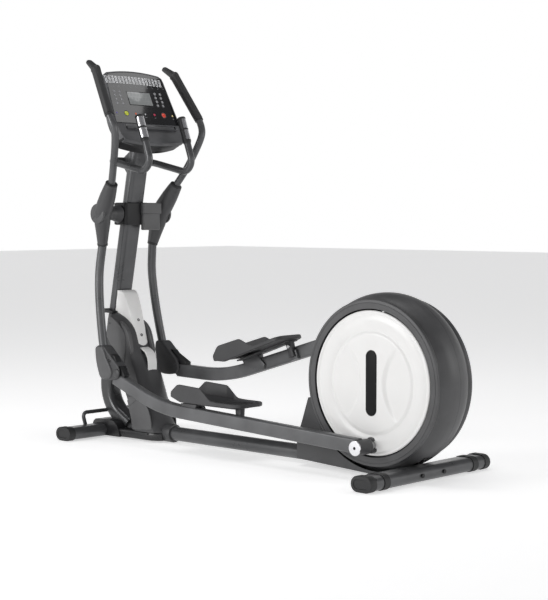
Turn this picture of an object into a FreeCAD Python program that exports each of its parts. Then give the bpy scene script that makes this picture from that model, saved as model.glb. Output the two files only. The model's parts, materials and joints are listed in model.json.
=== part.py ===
import FreeCAD, Part
import math
import os

# Rear-drive elliptical trainer, in millimetres.
# Origin: floor level, under the middle of the overall box. +X to the rear (the drum end),
# +Y to the user's right, +Z up. At rest the left crank pin is straight down and the right
# one straight up, so both swing arms stand at the middle of their stroke.

V = FreeCAD.Vector
Y_AXIS = V(0, 1, 0)
LEFT = -1
RIGHT = 1

# ---------------------------------------------------------------- overall places
crank_x = 690.0            # crank axis, behind the origin
crank_z = 379.0            # crank axis above the floor
crank_radius = 249.0       # crank axis to crank pin
mast_lean = math.radians(11.3)
mast_foot_x = -940.52      # mast axis at its lower end
mast_bottom_z = 590.0
pivot_z = 1048.0           # swing arm pivot on the mast
pivot_x = mast_foot_x + (pivot_z - mast_bottom_z) * math.tan(mast_lean)
joint_x = -767.0           # joint between a swing arm and its pedal arm
joint_z = crank_z
arm_y = 185.5              # middle plane of a pedal arm

# ---------------------------------------------------------------- fits and clearances
running_fit = 0.05         # radial, a shaft turning in its bore
body_gap = 2.0             # between parts that move past each other
seat_gap = 0.5             # between covers and what they wrap
half_seam = 0.15           # each moulded half stops this far from the middle
wall = 3.0                 # steel tube wall
shell = 4.0                # moulded cover wall

# ---------------------------------------------------------------- base frame
beam_r = 32.0
beam_z = 43.0
stab_width = 97.0          # flat oval stabiliser tube, along X
stab_height = 57.0
front_stab_x = -977.0
front_stab_half = 309.0
rear_stab_x = crank_x + 178.0
rear_stab_half = 378.0
cap_lip = 3.0              # how far an end cap stands proud of the tube
cap_length = 28.0
cap_end = 8.0
foot_band_y = 285.0
foot_band_width = 34.0
stab_z = stab_height / 2 + cap_lip
bolt_y = 70.0
bolt_head_r = 9.0
bolt_head_height = 6.0
loop_r = 9.0
loop_x = -1013.0
loop_half = 168.0
loop_z = 114.0
loop_bend = 18.0
block_half = 92.0          # base cover over the front stabiliser
block_shoulder_z = 66.0
block_top_z = 82.0
block_slope = 30.0
block_top_rear = front_stab_x + 97.0
block_foot_rear = front_stab_x + 127.0
sill_top_front = front_stab_x + 77.0
sill_foot_front = front_stab_x + 107.0
sill_well = 8.0            # solid left beside the beam inside the sill
base_half = 78.0
base_floor_gap = 5.0
base_top = 45.0
collar_r = 42.0
collar_x = -602.0
collar_length = 46.0
tuck = 1.0                 # overlap that joins pieces of one moulding
loop_splay = 24.0          # each handle leg leans in by this much

# ---------------------------------------------------------------- mast and its covers
mast_width = 100.0         # along Y
mast_depth = 56.0          # along X
mast_corner_r = 22.0
mast_top_z = pivot_z + 400.0
foot_depth = 74.0          # curved foot strut between mast and beam
foot_half = 36.0
foot_bend_x = -1031.0
foot_bend_z = 151.0
foot_bend_r = 170.0
foot_end_x = -852.0
foot_end_z = 57.0
shroud_half = 78.0
cover_half = 45.0
housing_depth = 90.0
housing_half = 76.0
housing_height = 105.0
housing_edge_r = 12.0
pivot_r = 20.0
hub_in = 80.0
hub_out = arm_y + 19.5
hub_middle = arm_y - 7.5
hub_r = 38.0
hub_cap_r = 46.0
hub_cap_length = 8.0
hub_floor = 7.0            # closed end of the hub beyond the axle

# ---------------------------------------------------------------- swing arms
lower_tube_r = 20.0
lower_top = V(pivot_x - 26.0, arm_y - 30.5, pivot_z - 136.0)
lower_end = V(joint_x - 71.0, arm_y - 1.5, joint_z + 49.0)
lower_mid = (lower_top + lower_end) / 2 + V(-31.5, -2.5, 45.0)
handle_r = 16.0
handle_start = V(pivot_x + 90.0, arm_y + 14.5, pivot_z + 133.0)
handle_bend = V(pivot_x + 214.0, arm_y + 94.5, pivot_z + 366.0)
handle_bend_r = 120.0
grip_start = V(pivot_x + 165.0, arm_y + 92.5, pivot_z + 445.0)
grip_bend = V(pivot_x + 37.0, arm_y + 57.5, pivot_z + 652.0)
grip_tip = V(pivot_x - 23.0, arm_y + 46.5, pivot_z + 689.0)
grip_bend_r = 30.0
grip_r = 20.5
boot_big_r = 42.0
boot_upper_r = 27.0
boot_lower_r = 25.0
joint_bolt_r = 10.0
cheek = 9.0                # joint cover wall beside the arm head

# ---------------------------------------------------------------- pedal arms, from the joint at rest
arm_height = 60.0
arm_width = 41.0
arm_head = (26.0, -83.0)
arm_corner = (312.0, -190.0)
arm_bend_r = 900.0
arm_hollow_front = 90.0
arm_hollow_end = 43.0      # the tube is solid this far ahead of the pin
web_outline = [(-30.0, 0.0), (30.0, 0.0), (88.0, -72.0), (20.0, -112.0)]
arm_pin_drop = 7.0         # the tube's middle runs this far above the pin
eye_r = 30.0
pin_r = 12.0
pin_housing_r = 31.0
pin_cap_r = 30.0
pin_cap_length = 4.0
pin_proud = 1.0            # pin and its housing stand this far out of the arm
pin_gap = 1.5              # between the crank boss and the housing
pedal_in = 36.0
pedal_width = 174.0
pedal_front = 394.0
pedal_rear = 817.0
pedal_bottom = -153.0
pedal_rim = 17.0
pedal_wall_height = 74.0
pedal_wall = 8.0
pedal_floor = 9.0
pedal_corner_r = 38.0
rim_rise = 9.0             # the front wall starts this far above the rim
toe_top = 52.0             # places along the pedal, from its front edge
wall_end = 192.0
rim_start = 257.0
sole_start = 70.0
mount_in = 118.0
mount_rail_out = 196.0
mount_plate = 5.0
mount_drop = 76.0
mount_front_drop = 40.0
mount_start = 60.0         # places along the mount, from the pedal's front edge
mount_foot_end = 150.0
mount_fin_end = 170.0
mount_fin_tip = 190.0
post_in = 140.0
post_out = 180.0
post_front = 62.0          # from the pedal's rear edge
post_rear = 32.0
rail_rear = 20.0

# ---------------------------------------------------------------- drum and drive
drum_r = 356.0
drum_half = 112.0
ring_r = 332.0
ring_foot_y = 98.0         # the ring's outer wall ends here
lip_y = 88.0
lip_depth = 5.0
crown_y = 40.0             # the rim is at full radius inside this
beam_slot_gap = 5.0
disc_r = 289.0
disc_gap = 6.0
disc_face = 110.0
disc_back = 99.5
axle_r = 15.0
bearing_r = 26.0
plate_y = 70.0
plate_thickness = 6.0
plate_foot_half = 95.0
plate_top_half = 36.0
plinth_height = 8.0
plinth_half = 100.0
plate_out = plate_y + plate_thickness
plate_nose = 25.0
plate_bridge = 28.0        # half height of the arm that carries the flywheel
bearing_in = plate_y - 7.0
bearing_wall = 8.0
crank_arm_y = 90.0
crank_arm_thickness = 9.0
boss_r = 24.0
boss_face = 128.0
pulley_r = 130.0
pulley_y = 45.0
pulley_width = 16.0
belt_thickness = 3.0
belt_gap = 0.4
flywheel_r = 125.0
flywheel_width = 35.0
flywheel_offset = 190.0    # flywheel axis ahead of the crank axis
flywheel_pulley_r = 25.0
flywheel_axle_r = 10.0
flywheel_x = crank_x - flywheel_offset
flywheel_hub_r = 19.0
flywheel_hub_in = 50.0
flywheel_side = 5.0        # the rim's near face is this far left of the middle
pulley_hub_r = 28.0
pulley_hub_length = 12.0
crank_hub_r = 34.0
crank_eye_wall = 4.0
crank_arm_half = 24.0
disc_edge = 2.0            # the rim's edge sits this far behind the disc's face
disc_dish = 5.0
badge_depth = 3.0
skirt_half = 80.0
badge_width = 57.0
badge_length = 266.0

# ---------------------------------------------------------------- console
face_x = pivot_x + 119.0   # lower edge of the display face
face_z = pivot_z + 413.0
face_tilt = math.radians(24.2)
face_height = 256.0
face_arch = 18.0
face_bottom_half = 201.0
face_top_half = 181.0
console_tray = 85.0
bezel_depth = 22.0
back_depth = 53.0
panel_depth = 3.0
panel_margin = 8.0
panel_lift = 4.0           # the panel sits this much higher than the console's outline
panel_gap = 0.2
tray_taper = 12.0
tray_arch = 27.0
back_margin = 6.0
display_size = (141.0, 66.0)
display_u = -4.5
display_v = 128.0
button_r = 12.0
button_gap = 0.5
button_proud = 2.0
button_stem = 7.0
pocket_depth = 10.0
board_size = (260.0, 120.0, 1.6)
board_v = 90.0
board_depth = 38.0
rack_half = 145.0
rack_low = -34.0
rack_height = 14.0
rack_lip = 16.0
rack_wall = 4.0
button_v = 49.0
button_u = 115.0

# ---------------------------------------------------------------- fixed handlebar
bar_r = 16.0
bar_half = 130.0
bar_front_x = pivot_x - 13.0
bar_front_z = pivot_z + 246.0
bar_low = (pivot_x + 296.0, pivot_z + 178.0)
bar_top = (pivot_x + 201.0, pivot_z + 442.0)
gusset_half = 42.0
gusset_nose = 14.0
gusset_above = 58.0        # gusset on the mast, from the handlebar's front run
gusset_below = 82.0
bar_bend_r = 50.0
bar_corner_r = 55.0
pulse_grip_r = 19.0
pulse_grip_length = 128.0
sensor_length = 46.0
sensor_thickness = 1.5
sensor_start = 12.0        # along the grip, from its upper end
sensor_space = 8.0
grip_overhang = 2.0


# ================================================================ shape helpers
def block(x0, x1, y0, y1, z0, z1):
    return Part.makeBox(x1 - x0, y1 - y0, z1 - z0, V(x0, y0, z0))


def span(side, inner, outer):
    """The Y limits of something from inner to outer on one side."""
    return sorted((side * inner, side * outer))


def rod_y(x, z, r, y0, y1):
    return Part.makeCylinder(r, y1 - y0, V(x, y0, z), Y_AXIS)


def rounded_edges(points, radii):
    """Straight runs joined by tangent arcs, one radius for each inner point."""
    edges = []
    start = points[0]
    for i, radius in enumerate(radii, 1):
        corner = points[i]
        back = (points[i - 1] - corner).normalize()
        ahead = (points[i + 1] - corner).normalize()
        half_turn = (math.pi - back.getAngle(ahead)) / 2
        tangent = radius * math.tan(half_turn)
        middle = (back + ahead).normalize() * (radius / math.cos(half_turn) - radius)
        p = corner + back * tangent
        q = corner + ahead * tangent
        edges.append(Part.LineSegment(start, p).toShape())
        edges.append(Part.Arc(p, corner + middle, q).toShape())
        start = q
    edges.append(Part.LineSegment(start, points[-1]).toShape())
    return edges


def sweep_circle(edges, r):
    path = Part.Wire(edges)
    first = edges[0]
    start = first.valueAt(first.FirstParameter)
    circle = Part.Wire(Part.Circle(start, first.tangentAt(first.FirstParameter), r).toShape())
    return path.makePipeShell([circle], True, True)


def bent_bar(points, radii, r):
    return sweep_circle(rounded_edges(points, radii), r)


def bent_tube(points, radii, r, thickness):
    return bent_bar(points, radii, r).cut(bent_bar(points, radii, r - thickness))


def plate(points, y0, y1):
    """A flat outline in XZ, extruded along Y."""
    outline = [V(x, y0, z) for x, z in points]
    face = Part.Face(Part.makePolygon(outline + outline[:1]))
    return face.extrude(V(0, y1 - y0, 0))


def offset_points(points, distance):
    """A polyline moved sideways, to its left for a positive distance."""
    moved = []
    for i, (x, z) in enumerate(points):
        normals = []
        for a, b in ((i - 1, i), (i, i + 1)):
            if a >= 0 and b < len(points):
                dx = points[b][0] - points[a][0]
                dz = points[b][1] - points[a][1]
                length = math.hypot(dx, dz)
                normals.append((-dz / length, dx / length))
        nx = sum(n[0] for n in normals)
        nz = sum(n[1] for n in normals)
        scale = distance * len(normals) / (nx * nx + nz * nz)
        if len(normals) == 1:
            scale = distance
        moved.append((x + nx * scale, z + nz * scale))
    return moved


def ribbon(points, radius, half, y0, y1):
    """A bar of constant height that follows a three-point line with one bend."""
    (ax, az), (bx, bz), (cx, cz) = points
    turn = (bx - ax) * (cz - bz) - (bz - az) * (cx - bx)
    inside = half if turn > 0 else -half
    left = [V(x, y0, z) for x, z in offset_points(points, half)]
    right = [V(x, y0, z) for x, z in reversed(offset_points(points, -half))]
    edges = rounded_edges(left, [radius - inside])
    edges.append(Part.LineSegment(left[-1], right[0]).toShape())
    edges += rounded_edges(right, [radius + inside])
    edges.append(Part.LineSegment(right[-1], left[0]).toShape())
    return Part.Face(Part.Wire(edges)).extrude(V(0, y1 - y0, 0))


def slot_y(x, z, width, height, y0, y1):
    """A flat oval bar along Y, with round front and rear edges."""
    r = height / 2
    flat = width / 2 - r
    bar = block(x - flat, x + flat, y0, y1, z - r, z + r)
    for centre in (x - flat, x + flat):
        bar = bar.fuse(rod_y(centre, z, r, y0, y1))
    return bar.removeSplitter()


def turned(profile, x, z):
    """A closed (radius, y) outline turned about the Y axis through (x, z)."""
    points = [V(x + r, y, z) for r, y in profile]
    face = Part.Face(Part.makePolygon(points + points[:1]))
    return face.revolve(V(x, 0, z), Y_AXIS, 360)


def mirrored(point, side):
    return V(point.x, side * point.y, point.z)


def fuse_all(shapes):
    return shapes[0].multiFuse(shapes[1:]).removeSplitter()


def cut_all(shape, tools):
    for tool in tools:
        shape = shape.cut(tool)
    return shape


nodes = {}


def add(name, *solids):
    nodes[name] = solids[0] if len(solids) == 1 else Part.Compound(list(solids))


# ================================================================ base frame
def mast_axis_x(z):
    return mast_foot_x + (z - mast_bottom_z) * math.tan(mast_lean)


def rounded_bar(width, depth, corner, z0, z1):
    """A leaning bar of rounded rectangular section about the mast's axis."""
    flat_x = depth / 2 - corner
    flat_y = width / 2 - corner
    pieces = [block(-depth / 2, depth / 2, -flat_y, flat_y, 0, 1),
              block(-flat_x, flat_x, -width / 2, width / 2, 0, 1)]
    for x in (-flat_x, flat_x):
        for y in (-flat_y, flat_y):
            pieces.append(Part.makeCylinder(corner, 1, V(x, y, 0)))
    section = fuse_all(pieces)
    bottom = max(section.Faces, key=lambda face: -face.CenterOfMass.z)
    foot = bottom.copy()
    foot.translate(V(mast_axis_x(z0), 0, z0))
    return foot.extrude(V(mast_axis_x(z1) - mast_axis_x(z0), 0, z1 - z0))


def stabiliser(x, half):
    outer = slot_y(x, stab_z, stab_width, stab_height, -half, half)
    inner = slot_y(x, stab_z, stab_width - 2 * wall, stab_height - 2 * wall, -half, half)
    return outer.cut(inner)


def end_cap(x, half, side):
    start, end = half - cap_length, half + cap_end
    cap = slot_y(x, stab_z, stab_width + 2 * cap_lip, stab_height + 2 * cap_lip, *span(side, start, end))
    return cap.cut(slot_y(x, stab_z, stab_width, stab_height, *span(side, start - 1, half)))


def foot_band(side):
    edge = foot_band_width / 2
    limits = span(side, foot_band_y - edge, foot_band_y + edge)
    band = slot_y(rear_stab_x, stab_z, stab_width + 2 * cap_lip, stab_height + 2 * cap_lip, *limits)
    return band.cut(slot_y(rear_stab_x, stab_z, stab_width, stab_height, *limits))


def stabiliser_bolt(y):
    face = rear_stab_x + stab_width / 2
    hexagon = [V(face, y + bolt_head_r * math.cos(a), stab_z + bolt_head_r * math.sin(a))
               for a in [math.radians(60 * i) for i in range(6)]]
    head = Part.Face(Part.makePolygon(hexagon + hexagon[:1])).extrude(V(bolt_head_height, 0, 0))
    return head


beam_front = front_stab_x + stab_width / 2
beam_rear = rear_stab_x - stab_width / 2
x_dir = V(1, 0, 0)
beam_outer = Part.makeCylinder(beam_r, beam_rear - beam_front, V(beam_front, 0, beam_z), x_dir)
beam_inner = Part.makeCylinder(beam_r - wall, beam_rear - beam_front, V(beam_front, 0, beam_z), x_dir)
beam_clearance = Part.makeCylinder(beam_r + seat_gap, beam_rear - front_stab_x, V(front_stab_x, 0, beam_z),
                                   x_dir)
foot_line = [(mast_foot_x, mast_bottom_z), (foot_bend_x, foot_bend_z), (foot_end_x, foot_end_z)]


def foot_strut(half_depth, half_width):
    return ribbon(foot_line, foot_bend_r, half_depth, -half_width, half_width)


def base_frame():
    front = stabiliser(front_stab_x, front_stab_half)
    rear = stabiliser(rear_stab_x, rear_stab_half)
    add("main_beam", cut_all(beam_outer, [beam_inner,
        slot_y(front_stab_x, stab_z, stab_width, stab_height, -beam_r, beam_r),
        slot_y(rear_stab_x, stab_z, stab_width, stab_height, -beam_r, beam_r)]))
    add("front_stabiliser", front)
    add("rear_stabiliser", rear)
    caps = [end_cap(front_stab_x, front_stab_half, side) for side in (LEFT, RIGHT)]
    caps += [end_cap(rear_stab_x, rear_stab_half, side) for side in (LEFT, RIGHT)]
    add("stabiliser_end_caps", *caps)
    add("rear_foot_bands", foot_band(LEFT), foot_band(RIGHT))
    add("stabiliser_bolts", *[stabiliser_bolt(side * bolt_y) for side in (LEFT, RIGHT)])


def lift_handle():
    leg_in = loop_half - loop_splay
    points = [V(loop_x, -leg_in, stab_z), V(loop_x, -loop_half, loop_z), V(loop_x, loop_half, loop_z),
              V(loop_x, leg_in, stab_z)]
    loop = bent_bar(points, [loop_bend, loop_bend], loop_r)
    add("lift_handle", loop.cut(slot_y(front_stab_x, stab_z, stab_width, stab_height,
                                       -front_stab_half, front_stab_half)))


def base_cover():
    front_edge = front_stab_x - stab_width / 2 - shell
    cover = fuse_all([
        plate([(front_edge, base_floor_gap), (front_edge, block_shoulder_z),
               (front_edge + block_slope, block_top_z), (block_top_rear, block_top_z),
               (block_foot_rear, base_floor_gap)], -block_half, block_half),
        plate([(sill_foot_front, base_floor_gap), (sill_top_front, base_top), (collar_x, base_top),
               (collar_x, base_floor_gap)], -base_half, base_half),
        Part.makeCylinder(collar_r, collar_length, V(collar_x - tuck, 0, beam_z + tuck), x_dir)])
    tools = [slot_y(front_stab_x, stab_z, stab_width + 2 * seat_gap, stab_height + 2 * seat_gap,
                    -front_stab_half, front_stab_half),
             beam_clearance,
             foot_strut(foot_depth / 2 + seat_gap, foot_half + seat_gap)]
    for side in (LEFT, RIGHT):
        low, high = span(side, beam_r + sill_well, base_half - shell)
        tools.append(block(sill_top_front, collar_x - 2 * shell, low, high, base_floor_gap - tuck,
                           base_top - shell))
    tools.append(nodes["lift_handle"])
    add("base_cover", cut_all(cover, tools))


# ================================================================ mast, foot strut and covers
shroud_floor = base_top + seat_gap


def from_foot(points):
    """Outline points given from the mast's lower end."""
    return [(mast_foot_x + x, mast_bottom_z + z) for x, z in points]


shroud_rear = from_foot([(0.0, -6.0), (37.5, 2.0), (82.5, -18.0), (134.5, -57.0), (159.5, -104.0),
                         (180.5, -167.0), (206.5, -240.0), (224.5, -285.0), (250.5, -345.0),
                         (272.5, -400.0), (292.5, -450.0), (310.5, -490.0)])
shroud_front = from_foot([(173.5, -486.0), (154.5, -440.0), (130.5, -388.0), (102.5, -330.0), (78.5, -271.0),
                          (47.5, -174.0), (15.5, -140.0), (-5.5, -112.0), (0.5, -75.0)])
shroud_foot = [(mast_foot_x + 334.5, shroud_floor), (mast_foot_x + 185.5, shroud_floor)]
shroud_outline = shroud_rear + shroud_foot + shroud_front
cover_outline = from_foot([(25.5, 102.0), (59.5, 102.0), (97.5, 29.0), (131.5, -45.0), (183.5, -183.0),
                           (221.5, -278.0), (214.5, -281.0), (174.5, -185.0), (120.5, -70.0), (60.5, -15.0),
                           (22.5, 0.0)])


def inset(points, distance):
    """A closed outline in XZ moved inwards by a wall."""
    wire = Part.makePolygon([V(x, 0, z) for x, z in points + points[:1]])
    moved = wire.makeOffset2D(-distance)
    if Part.Face(moved).Area > Part.Face(wire).Area:
        moved = wire.makeOffset2D(distance)
    return Part.Face(moved)


def shroud_half_shell(side, tools):
    low, high = span(side, half_seam, shroud_half)
    solid = plate(shroud_outline, low, high)
    core = inset(shroud_outline, shell)
    low, high = span(side, -1.0, shroud_half - shell)
    core.translate(V(0, low, 0))
    return cut_all(solid, [core.extrude(V(0, high - low, 0))] + tools)


def mast_and_covers():
    mast = rounded_bar(mast_width, mast_depth, mast_corner_r, mast_bottom_z, mast_top_z)
    bore = rounded_bar(mast_width - 2 * wall, mast_depth - 2 * wall, mast_corner_r - wall, mast_bottom_z,
                       mast_top_z)
    axle_hole = rod_y(pivot_x, pivot_z, pivot_r, -mast_width, mast_width)
    add("mast", cut_all(mast, [bore, axle_hole]))
    strut = foot_strut(foot_depth / 2, foot_half).cut(foot_strut(foot_depth / 2 - shell, foot_half - shell))
    joints = [beam_outer, slot_y(front_stab_x, stab_z, stab_width, stab_height, -block_half, block_half)]
    add("mast_foot", cut_all(strut, joints + [mast]))
    clear_mast = rounded_bar(mast_width + 2 * seat_gap, mast_depth + 2 * seat_gap, mast_corner_r,
                             mast_bottom_z - seat_gap, mast_top_z)
    clear_foot = foot_strut(foot_depth / 2 + seat_gap, foot_half + seat_gap)
    cover = plate(cover_outline, -cover_half, cover_half)
    clear_cover = plate(cover_outline, -cover_half - seat_gap, cover_half + seat_gap)
    tools = [clear_mast, clear_foot, clear_cover, beam_clearance]
    add("shroud_left", shroud_half_shell(LEFT, tools))
    add("shroud_right", shroud_half_shell(RIGHT, tools))
    hollow = inset(cover_outline, shell)
    hollow.translate(V(0, shell - cover_half, 0))
    hollow = hollow.extrude(V(0, 2 * (cover_half - shell), 0))
    add("mast_cover", cut_all(cover, [hollow, clear_mast]))
    housing = block(pivot_x - housing_depth / 2, pivot_x + housing_depth / 2, -housing_half, housing_half,
                    pivot_z - housing_height / 2, pivot_z + housing_height / 2)
    housing = housing.makeFillet(housing_edge_r, [e for e in housing.Edges if e.BoundBox.YLength > 1])
    add("pivot_housing", cut_all(housing, [mast, axle_hole]))
    axle_end = hub_out - hub_floor - 1.0
    add("pivot_axle", rod_y(pivot_x, pivot_z, pivot_r, -axle_end, axle_end))


# ================================================================ swing arms
cheek_outline = [(-97.0, 64.0), (-41.0, 64.0), (67.0, -29.0), (69.0, -61.0), (51.0, -83.0), (-19.0, -91.0),
                 (-65.0, -81.0), (-85.0, -29.0)]
slot_outline = [(-76.0, 41.0), (167.0, 41.0), (167.0, -179.0), (-76.0, -179.0)]


def from_joint(points):
    """Outline points given from the pedal arm joint."""
    return [(joint_x + x, joint_z + z) for x, z in points]


def swing_arm(name, side):
    top = mirrored(lower_top, side)
    start = mirrored(handle_start, side)
    root = V(pivot_x, side * hub_middle, pivot_z)
    bore = rod_y(pivot_x, pivot_z, pivot_r + running_fit, *span(side, hub_in - 1, hub_out - hub_floor))
    hub = [rod_y(pivot_x, pivot_z, hub_r, *span(side, hub_in, hub_out))]
    for end, r in ((top, boot_lower_r), (start, boot_upper_r)):
        axis = end - root
        hub.append(Part.makeCone(boot_big_r, r, axis.Length, root, axis))
    hub_casting = fuse_all(hub).cut(bore)
    cap = rod_y(pivot_x, pivot_z, hub_cap_r, *span(side, hub_out - shell, hub_out + hub_cap_length))
    add(name + "_swing_hub", fuse_all([hub_casting, cap]))

    mid = mirrored(lower_mid, side)
    low = mirrored(lower_end, side)
    arc = [Part.Arc(top, mid, low).toShape()]
    lower_solid = sweep_circle(arc, lower_tube_r)
    socket = lower_solid.copy()
    add(name + "_lower_arm", cut_all(lower_solid, [sweep_circle(arc, lower_tube_r - wall), hub_casting]))

    bend = mirrored(handle_bend, side)
    g0 = mirrored(grip_start, side)
    g1 = mirrored(grip_bend, side)
    g2 = mirrored(grip_tip, side)
    tube_end = g1 + (g0 - g1).normalize() * (2 * grip_r)
    tube = bent_bar([start, bend, tube_end], [handle_bend_r], handle_r)
    hollow = bent_bar([start, bend, tube_end], [handle_bend_r], handle_r - wall)
    add(name + "_handle", cut_all(tube, [hollow, hub_casting]))
    lead = (tube_end - bend).normalize()
    grip_from = bend + lead * (g0 - bend).dot(lead)
    grip = bent_bar([grip_from, g1, g2], [grip_bend_r], grip_r)
    add(name + "_grip", grip.cut(tube))

    arm_gap = arm_width / 2 + body_gap
    inner, outer = arm_y - arm_gap - cheek, arm_y + arm_gap + cheek
    cover = plate(from_joint(cheek_outline), *span(side, inner, outer))
    slot = plate(from_joint(slot_outline), *span(side, arm_y - arm_gap, arm_y + arm_gap))
    bolt = rod_y(joint_x, joint_z, joint_bolt_r, *span(side, inner, outer))
    add(name + "_joint_cover", cut_all(cover, [slot, bolt, socket]))
    add(name + "_joint_bolt", bolt)


# ================================================================ pedal arms
def pedal_arm(name, side):
    """The tube with its joint eye and pin housing, and the crank pin with its cap."""
    pin_x, pin_z = crank_x - joint_x, -crank_radius
    inner, outer = arm_y - arm_width / 2, arm_y + arm_width / 2
    limits = span(side, inner, outer)
    beyond = span(side, inner - pin_proud, outer + pin_proud)
    line = [arm_head, arm_corner, (pin_x, pin_z + arm_pin_drop)]
    tube = ribbon(line, arm_bend_r, arm_height / 2, *limits)
    hollow = ribbon(line, arm_bend_r, arm_height / 2 - wall, *span(side, inner + wall, outer - wall))
    hollow = hollow.common(block(arm_hollow_front, pin_x - arm_hollow_end, *limits, -2 * crank_radius, 0.0))
    web = plate(web_outline, *limits)
    eye = rod_y(0, 0, eye_r, *limits)
    housing = rod_y(pin_x, pin_z, pin_housing_r, *span(side, boss_face + pin_gap, outer + pin_proud))
    end = block(pin_x, pin_x + arm_height, *beyond, pin_z - arm_height, pin_z + arm_height)
    arm = fuse_all([tube.cut(end), web, eye, housing])
    bores = [hollow, rod_y(0, 0, joint_bolt_r + running_fit, *beyond),
             rod_y(pin_x, pin_z, pin_r, *span(side, boss_face, outer + 2 * pin_proud))]
    cap_from = outer + pin_proud
    crank_pin = rod_y(pin_x, pin_z, pin_r, *span(side, boss_face + pin_gap + seat_gap, cap_from))
    cap = rod_y(pin_x, pin_z, pin_cap_r, *span(side, cap_from, cap_from + pin_cap_length))
    place_on_arm(name + "_pedal_arm", side, cut_all(arm, bores))
    place_on_arm(name + "_crank_pin", side, crank_pin.fuse(cap))
    place_on_arm(name + "_pedal", side, pedal_tray(side))
    place_on_arm(name + "_pedal_mount", side, pedal_mount(side, tube))


def pedal_tray(side):
    """A tray with high walls at the toe and a low rim behind."""
    top = pedal_bottom + pedal_wall_height
    rim = pedal_bottom + pedal_rim
    floor = pedal_bottom + pedal_floor
    toe = pedal_front + toe_top
    sole = pedal_front + sole_start
    outline = [(pedal_front, rim + rim_rise), (toe, top), (pedal_front + wall_end, top - 5.0),
               (pedal_front + rim_start, rim), (pedal_rear, rim), (pedal_rear, pedal_bottom),
               (sole, pedal_bottom), (pedal_front + 10.0, pedal_bottom + 12.0)]
    tray = plate(outline, *span(side, pedal_in, pedal_in + pedal_width))
    inside_rear = pedal_rear - pedal_wall
    room = plate([(pedal_front + 10.0, rim + rim_rise + 2.0), (toe + pedal_wall, top + 10.0),
                  (inside_rear, top + 10.0), (inside_rear, floor), (sole + 4.0, floor),
                  (pedal_front + 20.0, pedal_bottom + 20.0)],
                 *span(side, pedal_in + pedal_wall, pedal_in + pedal_width - pedal_wall))
    corner_x = pedal_rear - pedal_corner_r
    tools = [room]
    for edge, sense in ((pedal_in, 1), (pedal_in + pedal_width, -1)):
        centre = edge + sense * pedal_corner_r
        square = block(corner_x, pedal_rear + tuck, *span(side, edge, centre), pedal_bottom - tuck,
                       rim + tuck)
        tools.append(square.cut(Part.makeCylinder(pedal_corner_r, pedal_wall_height,
                                                  V(corner_x, side * centre, pedal_bottom - 2 * tuck))))
    return cut_all(tray, tools)


def pedal_mount(side, tube):
    """A rail under the tray, with a gusset and foot in front and a post behind, seated on the arm."""
    inner, outer = arm_y - arm_width / 2, arm_y + arm_width / 2
    front = pedal_front + mount_start
    under = pedal_bottom - mount_plate
    low = pedal_bottom - mount_drop
    foot_x = pedal_front + mount_foot_end
    foot_z = pedal_bottom - mount_front_drop
    rail = block(front, pedal_rear - rail_rear, *span(side, mount_in, mount_rail_out), under, pedal_bottom)
    gusset = plate([(front, under), (pedal_front + mount_fin_end, under), (pedal_front + mount_fin_tip, low)],
                   *span(side, mount_in + 6.0, inner))
    foot = plate([(front, under), (foot_x, under), (foot_x, foot_z), (front, foot_z)],
                 *span(side, inner, outer - shell))
    post = block(pedal_rear - post_front, pedal_rear - post_rear, *span(side, post_in, post_out), low, under)
    mount = fuse_all([rail, gusset, foot, post]).cut(tube)
    return max(mount.Solids, key=lambda solid: solid.Volume)


def place_on_arm(node, side, shape):
    """Puts a piece made at the joint in its place, with the right arm raised by its own crank pin."""
    swing = math.degrees(math.atan2(crank_radius, crank_x - joint_x))
    if side == RIGHT:
        shape.rotate(V(0, 0, 0), Y_AXIS, -2 * swing)
    shape.translate(V(joint_x, 0, joint_z))
    add(node, shape)


# ================================================================ drum and drive
def drum_shell(side):
    """One half of the drum: a flat ring, a recessed lip and a bulging rim, split at the middle."""
    lip = ring_r - shell
    profile = [(disc_r + disc_gap, drum_half), (ring_r, drum_half), (ring_r, ring_foot_y),
               (ring_r - lip_depth, lip_y), (drum_r, crown_y), (drum_r, half_seam),
               (drum_r - shell, half_seam), (drum_r - shell, crown_y - 1.0), (lip - lip_depth, lip_y),
               (lip, ring_foot_y + 1.5),
               (lip, drum_half - shell), (disc_r + disc_gap, drum_half - shell)]
    body = turned([(r, side * y) for r, y in profile], crank_x, crank_z)
    half_slot = beam_r + beam_slot_gap
    slot_top = crank_z - disc_r + 5.0
    beam_slot = block(crank_x - ring_r, crank_x + ring_r, -half_slot, half_slot, 0, slot_top)
    stabiliser_clearance = slot_y(rear_stab_x, stab_z, stab_width + 2 * body_gap, stab_height + 2 * body_gap,
                                  -drum_half, drum_half)
    return cut_all(body, [beam_slot, stabiliser_clearance])


def belt_loop(gap):
    """The closed outline of a belt around both pulleys, at a distance from their rims."""
    big, small = pulley_r + gap, flywheel_pulley_r + gap
    lean = math.acos((big - small) / flywheel_offset)
    ends = []
    for sign in (1, -1):
        a = math.pi - sign * lean
        ends.append((V(crank_x + big * math.cos(a), 0, crank_z + big * math.sin(a)),
                     V(flywheel_x + small * math.cos(a), 0, crank_z + small * math.sin(a))))
    (top_big, top_small), (low_big, low_small) = ends
    edges = [Part.LineSegment(top_small, top_big).toShape(),
             Part.Arc(top_big, V(crank_x + big, 0, crank_z), low_big).toShape(),
             Part.LineSegment(low_big, low_small).toShape(),
             Part.Arc(low_small, V(flywheel_x - small, 0, crank_z), top_small).toShape()]
    face = Part.Face(Part.Wire(edges))
    face.translate(V(0, pulley_y + 1.0, 0))
    return face.extrude(V(0, pulley_width - 2.0, 0))


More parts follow.
